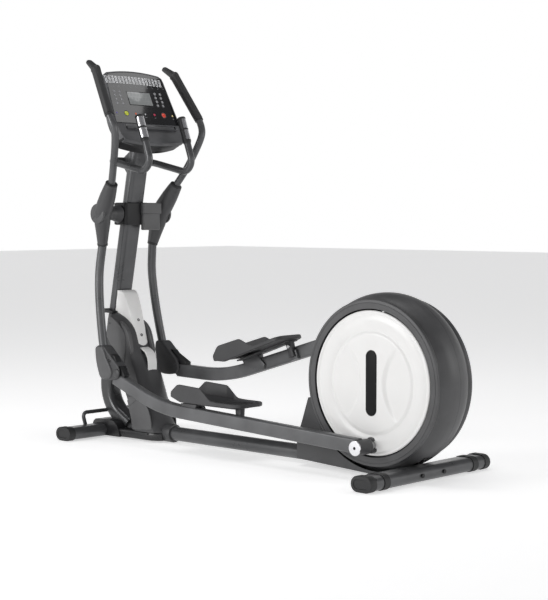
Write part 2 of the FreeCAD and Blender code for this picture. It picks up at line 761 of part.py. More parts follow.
def side_plate(side):
    low, high = span(side, plate_y, plate_out)
    foot_z = beam_z + beam_r + plinth_height
    top_z = crank_z + plate_top_half
    pieces = [plate([(crank_x - plate_foot_half, foot_z), (crank_x + plate_foot_half, foot_z),
                     (crank_x + plate_top_half, top_z), (crank_x - plate_top_half, top_z)], low, high),
              block(flywheel_x - plate_nose, crank_x, low, high, crank_z - plate_bridge,
                    crank_z + plate_bridge),
              rod_y(crank_x, crank_z, bearing_r + bearing_wall, *span(side, bearing_in, plate_out))]
    return fuse_all(pieces)


skirt_front = [(-422.0, 30.0), (-422.0, 115.0), (-394.0, 190.0), (-360.0, 290.0), (-270.0, 300.0),
               (0.0, 60.0)]


def drive_frame():
    base = block(crank_x - plinth_half, crank_x + plinth_half, -plate_out, plate_out, beam_z + beam_r,
                 beam_z + beam_r + plinth_height)
    frame = fuse_all([base, side_plate(LEFT), side_plate(RIGHT)])
    holes = [rod_y(crank_x, crank_z, bearing_r, -drum_half, drum_half),
             rod_y(flywheel_x, crank_z, flywheel_axle_r, -drum_half, drum_half)]
    add("drive_frame", cut_all(frame, holes))
    bearings = []
    for side in (LEFT, RIGHT):
        limits = span(side, bearing_in, plate_out)
        ring = rod_y(crank_x, crank_z, bearing_r, *limits)
        bearings.append(ring.cut(rod_y(crank_x, crank_z, axle_r + running_fit, *limits)))
    add("crank_bearings", *bearings)
    axle_half = plate_out + body_gap
    add("flywheel_axle", rod_y(flywheel_x, crank_z, flywheel_axle_r, -axle_half, axle_half))


def crank_disc(name, side, pin_z, boss_limits):
    rim_z, dish = disc_face - disc_edge, disc_face - disc_dish
    profile = [(0.0, disc_back), (disc_r, disc_back), (disc_r, rim_z), (disc_r - 9.0, disc_face),
               (disc_r - 20.0, disc_face - 3.0), (disc_r - 48.0, disc_face), (disc_r - 80.0, dish),
               (0.0, dish)]
    disc = turned([(r, side * y) for r, y in profile], crank_x, crank_z)
    add("crank_disc_" + name, disc.cut(rod_y(crank_x, pin_z, boss_r, *boss_limits)))


def crank():
    add("crank_axle", rod_y(crank_x, crank_z, axle_r, -crank_arm_y, crank_arm_y))
    hole = rod_y(crank_x, crank_z, axle_r, -drum_half, drum_half)
    rim_end = pulley_y + pulley_width
    pulley = fuse_all([rod_y(crank_x, crank_z, pulley_r, pulley_y, rim_end),
                       rod_y(crank_x, crank_z, pulley_hub_r, pulley_y - pulley_hub_length, rim_end)])
    add("drive_pulley", pulley.cut(hole))
    arms = []
    for side, name in ((LEFT, "left"), (RIGHT, "right")):
        pin_z = crank_z + side * crank_radius
        limits = span(side, crank_arm_y, crank_arm_y + crank_arm_thickness)
        boss_limits = span(side, crank_arm_y, boss_face)
        low_z, high_z = sorted((crank_z, pin_z))
        bar = block(crank_x - crank_arm_half, crank_x + crank_arm_half, *limits, low_z, high_z)
        arms.append(fuse_all([rod_y(crank_x, crank_z, crank_hub_r, *limits),
                              rod_y(crank_x, pin_z, boss_r + crank_eye_wall, *limits), bar,
                              rod_y(crank_x, pin_z, boss_r, *boss_limits)]))
        crank_disc(name, side, pin_z, boss_limits)
    add("crank_arms", *arms)


def disc_badge(side):
    straight = badge_length / 2 - badge_width / 2
    seat = disc_face - disc_dish
    limits = span(side, seat, seat + badge_depth)
    pill = [block(crank_x - badge_width / 2, crank_x + badge_width / 2, *limits,
                  crank_z - straight, crank_z + straight)]
    for z in (crank_z - straight, crank_z + straight):
        pill.append(rod_y(crank_x, z, badge_width / 2, *limits))
    return fuse_all(pill)


def flywheel():
    rim = rod_y(flywheel_x, crank_z, flywheel_r, -flywheel_side - flywheel_width, -flywheel_side)
    hub = rod_y(flywheel_x, crank_z, flywheel_hub_r, -flywheel_hub_in, pulley_y)
    small_pulley = rod_y(flywheel_x, crank_z, flywheel_pulley_r, pulley_y, pulley_y + pulley_width)
    bore = rod_y(flywheel_x, crank_z, flywheel_axle_r + running_fit, -plate_y, plate_y)
    add("flywheel", fuse_all([rim, hub, small_pulley]).cut(bore))


def drum_skirt():
    outline = [(crank_x + x, z) for x, z in skirt_front]
    rear = beam_rear - body_gap
    outline += [(rear, 70.0), (rear, 10.0), (crank_x - 20.0, 10.0)]
    core = inset(outline, shell)
    core.translate(V(0, shell - skirt_half, 0))
    core = core.extrude(V(0, 2 * (skirt_half - shell), 0))
    tools = [core, rod_y(crank_x, crank_z, drum_r + 2 * seat_gap, -drum_half, drum_half), beam_clearance]
    skirt = cut_all(plate(outline, -skirt_half, skirt_half), tools)
    add("drum_skirt", max(skirt.Solids, key=lambda solid: solid.Volume))


def drum_and_drive():
    add("drum_shell_left", drum_shell(LEFT))
    add("drum_shell_right", drum_shell(RIGHT))
    drive_frame()
    add("drive_belt", belt_loop(belt_gap + belt_thickness).cut(belt_loop(belt_gap)))
    crank()
    add("disc_badges", disc_badge(LEFT), disc_badge(RIGHT))
    flywheel()
    drum_skirt()


# ================================================================ console
face_up = V(-math.sin(face_tilt), 0, math.cos(face_tilt))
face_out = V(math.cos(face_tilt), 0, math.sin(face_tilt))


def on_face(shape):
    """From console coordinates (across, up the face, out of the face) to the part's frame."""
    placed = shape.copy()
    turn = FreeCAD.Rotation(Y_AXIS, face_up, face_out, "ZYX")
    placed.Placement = FreeCAD.Placement(V(face_x, 0, face_z), turn).multiply(placed.Placement)
    return placed


def console_outline(margin, tray, n0, n1):
    """The console's outline, moved in by a margin, as a slab between two depths."""
    low = face_bottom_half - margin
    top = face_top_half - margin
    high = face_height - margin
    edges = [Part.LineSegment(V(-low, 0, n0), V(-top, high, n0)).toShape(),
             Part.Arc(V(-top, high, n0), V(0, high + face_arch, n0), V(top, high, n0)).toShape(),
             Part.LineSegment(V(top, high, n0), V(low, 0, n0)).toShape()]
    if tray:
        foot = low - tray_taper
        edges += [Part.LineSegment(V(low, 0, n0), V(foot, -tray, n0)).toShape(),
                  Part.Arc(V(foot, -tray, n0), V(0, -tray - tray_arch, n0), V(-foot, -tray, n0)).toShape(),
                  Part.LineSegment(V(-foot, -tray, n0), V(-low, 0, n0)).toShape()]
    else:
        edges.append(Part.LineSegment(V(low, 0, n0), V(-low, 0, n0)).toShape())
    return Part.Face(Part.Wire(edges)).extrude(V(0, 0, n1 - n0))


def display_box(depth, n0):
    width, height = display_size
    return Part.makeBox(width, height, depth, V(display_u - width / 2, display_v - height / 2, n0))


def console():
    """The display head: bezel, back, glossy panel, display, two buttons, board and reading rack."""
    clear_mast = rounded_bar(mast_width + 2 * seat_gap, mast_depth + 2 * seat_gap, mast_corner_r,
                             bar_front_z - gusset_below, mast_top_z + seat_gap)
    lift = V(0, panel_lift, 0)
    recess = console_outline(panel_margin - panel_gap, 0.0, -panel_depth, 1.0)
    recess.translate(lift)
    bezel = console_outline(0.0, console_tray, -bezel_depth, 0.0)
    hollow = console_outline(2 * shell + body_gap * 2, console_tray - 10.0, -bezel_depth - 1,
                             -panel_depth - 2 * shell)
    pockets = []
    for u in (-button_u, button_u):
        pockets.append(Part.makeCylinder(button_r + button_gap, pocket_depth + button_proud,
                                         V(u, button_v, -pocket_depth)))
    add("console_bezel", on_face(cut_all(bezel, [recess, hollow] + pockets)).cut(clear_mast))
    back_n = -bezel_depth - back_depth
    back = console_outline(back_margin, console_tray - shell, back_n, -bezel_depth)
    inside = console_outline(back_margin + shell, console_tray - 2 * shell, back_n + shell, 1.0 - bezel_depth)
    add("console_back", on_face(back.cut(inside)).cut(clear_mast))
    panel = console_outline(panel_margin, 0.0, -panel_depth, 0.0)
    panel.translate(lift)
    window = display_box(panel_depth + 2.0, -panel_depth - 1.0)
    add("console_panel", on_face(cut_all(panel, [window] + pockets)))
    add("console_display", on_face(display_box(panel_depth - seat_gap, -panel_depth)))
    for name, u in (("start_button", -button_u), ("stop_button", button_u)):
        stem = Part.makeCylinder(button_r, button_stem + button_proud, V(u, button_v, -button_stem))
        add(name, on_face(stem))
    board = Part.makeBox(*board_size, V(-board_size[0] / 2, board_v, -board_depth))
    add("control_board", on_face(board))
    corner = V(-rack_half, rack_low, 0)
    ledge = fuse_all([Part.makeBox(2 * rack_half, rack_height, rack_wall, corner),
                      Part.makeBox(2 * rack_half, rack_wall, rack_lip, corner)])
    add("reading_rack", on_face(ledge))


# ================================================================ fixed handlebar
def fixed_handlebar():
    def side_points(side):
        y = side * bar_half
        return [V(bar_front_x, y, bar_front_z), V(bar_low[0], y, bar_low[1]), V(bar_top[0], y, bar_top[1])]

    right = side_points(RIGHT)
    left = side_points(LEFT)
    points = [left[2], left[1], left[0], right[0], right[1], right[2]]
    radii = [bar_bend_r, bar_corner_r, bar_corner_r, bar_bend_r]
    tube = bent_tube(points, radii, bar_r, wall)
    hollow_bar = bent_bar(points, radii, bar_r - wall)
    mast = rounded_bar(mast_width, mast_depth, mast_corner_r, pivot_z, mast_top_z)
    above = bar_front_z + gusset_above
    below = bar_front_z - gusset_below
    gusset = plate([(bar_front_x - gusset_nose, bar_front_z), (mast_axis_x(above), above),
                    (mast_axis_x(below), below)], -gusset_half, gusset_half)
    add("fixed_handlebar", tube.fuse(cut_all(gusset, [mast, hollow_bar])))
    grips = []
    sensors = []
    for points in (left, right):
        top = points[2]
        down = (points[1] - top).normalize()
        start = top - down * grip_overhang
        sleeve = Part.makeCylinder(pulse_grip_r, pulse_grip_length, start, down)
        sleeve = sleeve.cut(Part.makeCylinder(bar_r, pulse_grip_length, top, down))
        for offset in (sensor_start, sensor_start + sensor_length + sensor_space):
            seat = start + down * offset
            ring = Part.makeCylinder(pulse_grip_r, sensor_length, seat, down)
            ring = ring.cut(Part.makeCylinder(pulse_grip_r - sensor_thickness, sensor_length, seat, down))
            sleeve = sleeve.cut(ring)
            sensors.append(ring)
        grips.append(sleeve)
    add("pulse_grips", *grips)
    add("pulse_sensors", *sensors)


def main():
    base_frame()
    lift_handle()
    base_cover()
    mast_and_covers()
    for name, side in (("left", LEFT), ("right", RIGHT)):
        swing_arm(name, side)
        pedal_arm(name, side)
    drum_and_drive()
    console()
    fixed_handlebar()
    os.makedirs("parts", exist_ok=True)
    for name, shape in nodes.items():
        shape.exportStep("parts/" + name + ".step")
    whole = Part.Compound(list(nodes.values())).BoundBox
    print("nodes", len(nodes))
    print("x", round(whole.XMin, 2), round(whole.XMax, 2))
    print("y", round(whole.YMin, 2), round(whole.YMax, 2))
    print("z", round(whole.ZMin, 2), round(whole.ZMax, 2))
    for name, shape in nodes.items():
        if not shape.isValid():
            print("invalid", name)


main()
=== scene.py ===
import json
import math

import bmesh
import bpy
from mathutils import Matrix, Vector


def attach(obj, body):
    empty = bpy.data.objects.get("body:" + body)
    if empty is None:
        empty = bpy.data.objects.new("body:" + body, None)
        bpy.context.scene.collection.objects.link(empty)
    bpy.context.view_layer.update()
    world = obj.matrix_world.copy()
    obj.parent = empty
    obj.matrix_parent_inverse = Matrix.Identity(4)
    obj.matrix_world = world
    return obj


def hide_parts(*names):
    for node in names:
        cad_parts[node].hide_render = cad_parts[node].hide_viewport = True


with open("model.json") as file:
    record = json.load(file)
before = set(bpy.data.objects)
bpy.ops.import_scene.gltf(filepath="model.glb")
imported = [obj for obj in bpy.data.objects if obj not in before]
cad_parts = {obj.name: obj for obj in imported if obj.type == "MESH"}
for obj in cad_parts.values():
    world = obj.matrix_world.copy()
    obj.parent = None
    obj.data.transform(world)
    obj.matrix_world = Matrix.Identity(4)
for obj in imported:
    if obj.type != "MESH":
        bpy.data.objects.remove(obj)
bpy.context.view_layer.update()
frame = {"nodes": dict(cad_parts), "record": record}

MM = 0.001
LEFT, RIGHT = -1, 1
SIDES = (("left", LEFT), ("right", RIGHT))
joints = {joint["name"]: joint for joint in frame["record"]["behaviour"]["joints"]}


def joint_place(name):
    """A joint's place in millimetres."""
    return Vector(joints[name]["pos_m"]) / MM


CRANK = joint_place("crank_spin")
PIVOT = joint_place("left_arm_swing")
JOINT = joint_place("left_pedal_arm_joint")


# ---- materials
COAT_ROUGHNESS = 0.12
CLOUD_SCALE, CLOUD_DETAIL, GRAIN_DETAIL = 9, 5, 2
BRUSH_SCALE, BRUSH_DETAIL, BRUSH_STRETCH = 60, 4, (1, 1, 60)


def add(nodes, kind, sockets=()):
    """A shader node with some of its sockets set."""
    made = nodes.new(kind)
    for socket, value in dict(sockets).items():
        made.inputs[socket].default_value = value
    return made


def surface(name, sockets, tones, stops, roughness, relief, noises, stretch=None):
    """The first noise drives colour and roughness, and the last one the relief."""
    material = bpy.data.materials.new(name)
    material.use_nodes = True
    nodes, links = material.node_tree.nodes, material.node_tree.links
    shader = nodes["Principled BSDF"]
    for socket, value in sockets.items():
        shader.inputs[socket].default_value = value
    vector = add(nodes, "ShaderNodeTexCoord").outputs["Object"]
    if stretch:
        mapping = add(nodes, "ShaderNodeMapping", {"Scale": stretch})
        links.new(vector, mapping.inputs["Vector"])
        vector = mapping.outputs["Vector"]
    made = [add(nodes, "ShaderNodeTexNoise", {"Scale": scale, "Detail": detail}) for scale, detail in noises]
    for noise in made:
        links.new(vector, noise.inputs["Vector"])
    slow, fine = made[0].outputs["Fac"], made[-1].outputs["Fac"]
    ramp = add(nodes, "ShaderNodeValToRGB")
    for element, stop, tone in zip(ramp.color_ramp.elements, stops, tones):
        element.position = stop
        element.color = (*tone, 1)
    spread = add(nodes, "ShaderNodeMapRange", {"To Min": roughness[0], "To Max": roughness[1]})
    bump = add(nodes, "ShaderNodeBump", {"Strength": relief[0], "Distance": relief[1]})
    links.new(slow, ramp.inputs["Fac"])
    links.new(ramp.outputs["Color"], shader.inputs["Base Color"])
    links.new(slow, spread.inputs["Value"])
    links.new(spread.outputs["Result"], shader.inputs["Roughness"])
    links.new(fine, bump.inputs["Height"])
    links.new(bump.outputs["Normal"], shader.inputs["Normal"])
    return material


def grained(name, colour, rough, metallic=0, coat=0, grain=900, bump=0.12, spread=0.18,
            rough_spread=0.1, specular=0.5):
    """A moulded, painted or cast surface: slow colour clouds and a fine grain."""
    sockets = {"Metallic": metallic, "Coat Weight": coat, "Coat Roughness": COAT_ROUGHNESS,
               "Specular IOR Level": specular}
    tones = ([c * (1 - spread) for c in colour], [min(1, c * (1 + spread)) for c in colour])
    return surface(name, sockets, tones, (0.3, 0.7), (rough - rough_spread, rough + rough_spread),
                   (bump, 0.0003), ((CLOUD_SCALE, CLOUD_DETAIL), (grain, GRAIN_DETAIL)))


def brushed(name, colour, rough):
    """Metal with fine parallel tool marks."""
    return surface(name, {"Metallic": 1}, ([c * 0.8 for c in colour], colour), (0, 1),
                   (rough * 0.7, rough * 1.3), (0.1, 0.0002), ((BRUSH_SCALE, BRUSH_DETAIL),), BRUSH_STRETCH)


looks = {
    "frame_paint": grained("paint_charcoal", (0.078, 0.079, 0.082), 0.3, metallic=0.3, grain=1500,
                           bump=0.015),
    "cover_plastic": grained("plastic_dark", (0.042, 0.042, 0.044), 0.46, grain=1100, bump=0.16),
    "shell_plastic": grained("plastic_drum", (0.06, 0.06, 0.062), 0.44, grain=1100, bump=0.14),
    "white_plastic": grained("plastic_white", (0.78, 0.775, 0.765), 0.33, coat=0.15, bump=0.03, spread=0.015),
    "rubber": grained("rubber_black", (0.014, 0.014, 0.015), 0.6, bump=0.3),
    "grip_foam": grained("grip_black", (0.017, 0.017, 0.018), 0.52, grain=700, bump=0.35),
    "steel": brushed("steel_turned", (0.55, 0.55, 0.56), 0.28),
    "sensor_steel": brushed("steel_bright", (0.86, 0.86, 0.88), 0.22),
    "bolt_black": grained("bolt_black", (0.02, 0.02, 0.021), 0.35, metallic=0.6, bump=0.05),
    "cast": grained("iron_cast", (0.1, 0.1, 0.105), 0.5, metallic=0.8, bump=0.2),
    "belt": grained("belt_rubber", (0.02, 0.02, 0.02), 0.7, bump=0.2),
    "console_plastic": grained("plastic_console", (0.042, 0.042, 0.045), 0.42, grain=1200),
    "console_gloss": grained("panel_gloss", (0.005, 0.005, 0.006), 0.06, coat=0.6, bump=0,
                             rough_spread=0.01),
    "display": grained("lcd_glass", (0.27, 0.28, 0.28), 0.1, coat=0.5, bump=0, spread=0.04,
                       rough_spread=0.02),
    "badge": grained("badge_black", (0.004, 0.004, 0.0045), 0.3, bump=0, rough_spread=0.03, specular=0.15),
    "button_start": grained("key_lime", (0.6, 0.66, 0.03), 0.3, coat=0.3, bump=0.02),
    "button_stop": grained("key_red", (0.8, 0.05, 0.02), 0.3, coat=0.3, bump=0.02),
    "bow_paint": grained("paint_bow", (0.055, 0.056, 0.058), 0.24, metallic=0.35, grain=1500, bump=0.03),
    "arm_paint": grained("paint_arm", (0.105, 0.106, 0.109), 0.36, metallic=0.25, grain=1500, bump=0.05),
    "panel_plastic": grained("plastic_panel", (0.075, 0.075, 0.077), 0.42, grain=1200),
    "black_plastic": grained("plastic_black", (0.01, 0.01, 0.011), 0.42, specular=0.3),
    "base_gloss": grained("plastic_base", (0.013, 0.013, 0.014), 0.3, bump=0.06),
    "console_rim": grained("plastic_rim", (0.085, 0.086, 0.09), 0.4, grain=1300, bump=0.1),
    "tray_plastic": grained("plastic_tray", (0.075, 0.076, 0.08), 0.44, grain=1300, bump=0.14),
    "lcd_ink": grained("lcd_ink", (0.12, 0.13, 0.13), 0.4, bump=0, spread=0.02),
    "mark_grey": grained("mark_grey", (0.3, 0.31, 0.33), 0.5, bump=0, spread=0.05),
    "mark_dark": grained("mark_dark", (0.02, 0.02, 0.02), 0.5, bump=0, spread=0.05),
    "key_grey": grained("key_grey", (0.2, 0.2, 0.21), 0.35, bump=0.05, spread=0.05),
    "key_violet": grained("key_violet", (0.16, 0.12, 0.42), 0.35, bump=0.02),
    "key_orange": grained("key_orange", (0.62, 0.12, 0.05), 0.35, bump=0.02),
    "key_magenta": grained("key_magenta", (0.45, 0.02, 0.07), 0.35, bump=0.02),
    "key_yellow": grained("key_yellow", (0.75, 0.62, 0.3), 0.35, bump=0.02),
    "led_white": grained("led_white", (0.9, 0.91, 0.93), 0.4, bump=0, spread=0.02),
    "board": grained("board_green", (0.02, 0.15, 0.05), 0.4, bump=0.05),
    "tread": grained("plastic_tread", (0.04, 0.04, 0.042), 0.5, bump=0.25),
}

# each CAD node takes the look named by its material slot in the record
slots = {part["node"]: part["material_slot"] for part in frame["record"]["subparts"]}
for node, thing in frame["nodes"].items():
    thing.data.materials.clear()
    thing.data.materials.append(looks[slots[node]])


# ---- camera
camera = bpy.data.cameras.new("photo_camera")
camera.lens = 90.94
camera.sensor_width = 36
camera.clip_end = 200
eye = bpy.data.objects.new("photo_camera", camera)
azimuth, elevation = math.radians(43.0305), math.radians(3.2729)
back = Vector((math.sin(azimuth) * math.cos(elevation), -math.cos(azimuth) * math.cos(elevation),
               math.sin(elevation)))
eye.location = (4.4824, -4.7349, 1.05)
eye.rotation_euler = back.to_track_quat("Z", "Y").to_euler()
bpy.context.scene.collection.objects.link(eye)
bpy.context.scene.camera = eye


# ---- floor and light
bpy.context.scene.view_settings.view_transform = "Standard"
bpy.ops.mesh.primitive_plane_add(size=60, location=(0, 0, -0.0005))
floor = bpy.context.object
floor.name = "studio_floor"
floor_look = grained("floor_white", (0.9, 0.9, 0.9), 0.8, bump=0, spread=0.008, specular=0.1)
floor_sockets = floor_look.node_tree.nodes["Principled BSDF"].inputs
floor_sockets["Emission Color"].default_value = (1, 1, 1, 1)
floor_sockets["Emission Strength"].default_value = 0.49
floor.data.materials.append(floor_look)


def studio_world():
    """White at the horizon, falling to a dim ceiling."""
    world = bpy.data.worlds.new("studio_world")
    bpy.context.scene.world = world
    world.use_nodes = True
    nodes, links = world.node_tree.nodes, world.node_tree.links
    place = nodes.new("ShaderNodeTexCoord")
    split = nodes.new("ShaderNodeSeparateXYZ")
    ramp = nodes.new("ShaderNodeValToRGB")
    ramp.color_ramp.interpolation = "EASE"
    ramp.color_ramp.elements[0].position = 0.24
    ramp.color_ramp.elements[0].color = (1, 1, 1, 1)
    ramp.color_ramp.elements[1].position = 0.46
    ramp.color_ramp.elements[1].color = (0.16, 0.16, 0.165, 1)
    links.new(place.outputs["Generated"], split.inputs["Vector"])
    links.new(split.outputs["Z"], ramp.inputs["Fac"])
    links.new(ramp.outputs["Color"], nodes["Background"].inputs["Color"])
    nodes["Background"].inputs["Strength"].default_value = 1


def soft_light(name, place, target, size, power, roll=0):
    lamp = bpy.data.lights.new(name, "AREA")
    lamp.shape = "RECTANGLE"
    lamp.size, lamp.size_y = size
    lamp.energy = power
    thing = bpy.data.objects.new(name, lamp)
    thing.location = place
    aim = Vector(target) - Vector(place)
    facing = aim.to_track_quat("-Z", "Y").to_matrix() @ Matrix.Rotation(math.radians(roll), 3, "Z")
    thing.rotation_euler = facing.to_euler()
    bpy.context.scene.collection.objects.link(thing)


studio_world()
soft_light("key_light", (-2.2, -5.2, 2.2), (0, 0, 0.7), (2.4, 2.2), 120)
soft_light("top_light", (-0.6, -0.6, 5), (0, 0, 0), (1.4, 3), 45)
soft_light("rear_light", (5, 2.6, 2.4), (0.2, 0, 0.8), (1.2, 2.6), 45)
soft_light("low_strip", (0.6, -4.6, 0.75), (0, 0, 0.3), (3.2, 0.22), 9)
# a small card that the console's glass reflects across its upper corner
soft_light("console_card", (0.506, 1.776, 3.736), (-0.793, -0.237, 1.93), (0.9, 1.1), 5.5, -69.2)


# ---- shape building, in millimetres
def circle(n):
    """The (cos, sin) pairs round a circle."""
    return [(math.cos(2 * math.pi * i / n), math.sin(2 * math.pi * i / n)) for i in range(n)]


def merge(*shapes):
    verts, faces = [], []
    for more_verts, more_faces in shapes:
        base = len(verts)
        verts += more_verts
        faces += [[i + base for i in face] for face in more_faces]
    return verts, faces


def loft(rings, ends=True, closed=False):
    """Quads between rings that have the same number of points."""
    n = len(rings[0])
    faces = []
    for i in range(len(rings) if closed else len(rings) - 1):
        a, b = i * n, ((i + 1) % len(rings)) * n
        for j in range(n):
            k = (j + 1) % n
            faces.append([a + j, a + k, b + k, b + j])
    if ends and not closed:
        faces.append(list(range(n))[::-1])
        faces.append([(len(rings) - 1) * n + j for j in range(n)])
    return [Vector(p) for ring in rings for p in ring], faces


def spline(points, steps=8, closed=False):
    """A smooth line through points of any dimension."""
    count = len(points)
    made = []
    for i in range(count if closed else count - 1):
        if closed:
            a, b, c, d = (points[(i + k) % count] for k in (-1, 0, 1, 2))
        else:
            a, b, c, d = (points[min(max(i + k, 0), count - 1)] for k in (-1, 0, 1, 2))
        for s in range(steps):
            t = s / steps
            made.append([0.5 * (2 * q + (r - p) * t + (2 * p - 5 * q + 4 * r - w) * t * t
                                + (3 * q - p - 3 * r + w) * t ** 3) for p, q, r, w in zip(a, b, c, d)])
    if not closed:
        made.append(list(points[-1]))
    return [Vector(p) for p in made] if len(made[0]) == 3 else [tuple(p) for p in made]


def rounded(points, radii, turn=6):
    """Straight runs joined by arcs, one radius for each inner point."""
    made = [Vector(points[0])]
    for i, radius in enumerate(radii, 1):
        corner = Vector(points[i])
        behind = (Vector(points[i - 1]) - corner).normalized()
        ahead = (Vector(points[i + 1]) - corner).normalized()
        bend = math.pi - behind.angle(ahead)
        middle = (behind + ahead).normalized()
        centre = corner + middle * radius / math.cos(bend / 2)
        start = corner + behind * radius * math.tan(bend / 2) - centre
        axis = start.cross(corner - centre).normalized()
        steps = max(2, round(math.degrees(bend) / turn))
        for s in range(steps + 1):
            made.append(centre + Matrix.Rotation(bend * s / steps, 3, axis) @ start)
    made.append(Vector(points[-1]))
    return made


def oval(width, height, n=28, power=2):
    """A ring (u, v): an ellipse at power 2, squarer above it."""
    ring = []
    for c, s in circle(n):
        ring.append((math.copysign(abs(c) ** (2 / power), c) * width / 2,
                     math.copysign(abs(s) ** (2 / power), s) * height / 2))
    return ring


def soft_box(width, height, r, n=5):
    """A ring (u, v): a rectangle with round corners."""
    ring = []
    for k, (su, sv) in enumerate(((1, 1), (-1, 1), (-1, -1), (1, -1))):
        for i in range(n + 1):
            a = math.pi / 2 * (k + i / n)
            ring.append((su * (width / 2 - r) + r * math.cos(a), sv * (height / 2 - r) + r * math.sin(a)))
    return ring


def sweep(path, section, side=None, ends=True):
    """A section, or one for each point, along a path. side is where the section's u points, if fixed."""
    path = [Vector(p) for p in path]
    rings = []
    across = None
    for i, p in enumerate(path):
        ahead = (path[min(i + 1, len(path) - 1)] - path[max(i - 1, 0)]).normalized()
        if side:
            across = Vector(side)
        elif across is None:
            across = ahead.orthogonal()
        across = (across - ahead * across.dot(ahead)).normalized()
        up = ahead.cross(across)
        ring = section[i] if isinstance(section[0], list) else section
        rings.append([p + across * u + up * v for u, v in ring])
    return loft(rings, ends)


def turned(profile, x, z, n=96, closed=True):
    """A (radius, y) line turned about the Y axis through (x, z)."""
    rings = [[(x + r * c, y, z + r * s) for c, s in circle(n)] for r, y in profile]
    return loft(rings, ends=not closed, closed=closed)


def slab(outline, y0, y1):
    """An XZ outline between two Y places."""
    return loft([[(x, y, z) for x, z in outline] for y in (y0, y1)])


def inset_line(outline, distance):
    """A closed outline moved inwards."""
    count = len(outline)
    area = sum(outline[i][0] * outline[(i + 1) % count][1] - outline[(i + 1) % count][0] * outline[i][1]
               for i in range(count))
    moved = []
    for i, (x, z) in enumerate(outline):
        (ax, az), (bx, bz) = outline[i - 1], outline[(i + 1) % count]
        dx, dz = bx - ax, bz - az
        length = math.hypot(dx, dz) or 1
        turn = distance if area > 0 else -distance
        moved.append((x - dz / length * turn, z + dx / length * turn))
    return moved


def pillow(outline, y0, y1, r0=0, r1=0, steps=4):
    """An XZ outline between two Y places, with rounded edges at each end."""
    rings = []
    sign = 1 if y1 > y0 else -1
    for r, y, way in ((r0, y0, 1), (r1, y1, -1)):
        arc = [(y, 0)]
        if r:
            turns = [math.pi / 2 * i / steps for i in range(steps + 1)]
            arc = [(y + sign * way * r * (1 - math.sin(a)), r * (1 - math.cos(a))) for a in turns]
        for at, inwards in sorted(arc, key=lambda spot: sign * spot[0]):
            rings.append([(x, at, z) for x, z in inset_line(outline, inwards)])
    return loft(rings)


def mirror(shape, side):
    """Shapes are drawn on the right, at +Y, and turned over for the left."""
    verts, faces = shape
    if side == LEFT:
        verts = [Vector((p.x, -p.y, p.z)) for p in verts]
    return [Vector(p) for p in verts], faces


def moved(shape, matrix):
    verts, faces = shape
    return [matrix @ Vector(p) for p in verts], faces


def bake(thing):
    """Turns an object's modifiers into its mesh."""
    bpy.context.view_layer.update()
    seen = thing.evaluated_get(bpy.context.evaluated_depsgraph_get())
    mesh = bpy.data.meshes.new_from_object(seen)
    thing.modifiers.clear()
    old = thing.data
    thing.data = mesh
    bpy.data.meshes.remove(old)


def make(name, shape):
    """A Blender object from a shape in millimetres."""
    verts, faces = shape
    mesh = bpy.data.meshes.new(name)
    mesh.from_pydata([tuple(Vector(p) * MM) for p in verts], [], faces)
    work = bmesh.new()
    work.from_mesh(mesh)
    bmesh.ops.recalc_face_normals(work, faces=work.faces)
    work.to_mesh(mesh)
    work.free()
    thing = bpy.data.objects.new(name, mesh)
    bpy.context.scene.collection.objects.link(thing)
    return thing


def carve(thing, cutter_shape, operation="DIFFERENCE"):
    cutter = make("cutter", cutter_shape)
    cut = thing.modifiers.new("carve", "BOOLEAN")
    cut.operation = operation
    cut.object = cutter
    cut.solver = "EXACT"
    bake(thing)
    bpy.data.objects.remove(cutter)


def melt(thing, voxel, rounds=4):
    """Joins overlapping closed forms into one skin and softens where they meet."""
    skin = thing.modifiers.new("skin", "REMESH")
    skin.mode = "VOXEL"
    skin.voxel_size = voxel * MM
    soft = thing.modifiers.new("soft", "SMOOTH")
    soft.iterations = rounds
    bake(thing)


def bevelled(thing, width, segments=3, angle=30):
    edge = thing.modifiers.new("edge", "BEVEL")
    edge.width = width * MM
    edge.segments = segments
    edge.limit_method = "ANGLE"
    edge.angle_limit = math.radians(angle)
    edge.use_clamp_overlap = True
    bake(thing)


def place(thing, look, body, nodes=(), sharp=34):
    """Shades the piece, gives it a material, and puts it on its body."""
    mesh = thing.data
    work = bmesh.new()
    work.from_mesh(mesh)
    for face in work.faces:
        face.smooth = True
    for edge in work.edges:
        if len(edge.link_faces) == 2 and edge.calc_face_angle(0) > math.radians(sharp):
            edge.smooth = False
    work.to_mesh(mesh)
    work.free()
    mesh.materials.clear()
    mesh.materials.append(looks[look])
    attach(thing, body)
    if nodes:
        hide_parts(*nodes)
    return thing


def piece(name, shape, look, body="frame", nodes=(), sharp=34, edge=()):
    """A finished piece. edge gives its bevel's width, segments and angle."""
    thing = make(name, shape)
    if edge:
        bevelled(thing, *edge)
    return place(thing, look, body, nodes, sharp)


def smooth(t):
    """An even ease from 0 to 1."""
    t = min(1, max(0, t))
    return t * t * (3 - 2 * t)


# ---- drum
CRANK_RADIUS = 249
SKIRT_HALF, SKIRT_TOP = 36, -284
RIM_R, STEP_R, DISH_R, FACE_R = 283, 273, 209, 190
CRESCENT_HALF = 146
BADGE_R, BADGE_HALF = 27.5, 104


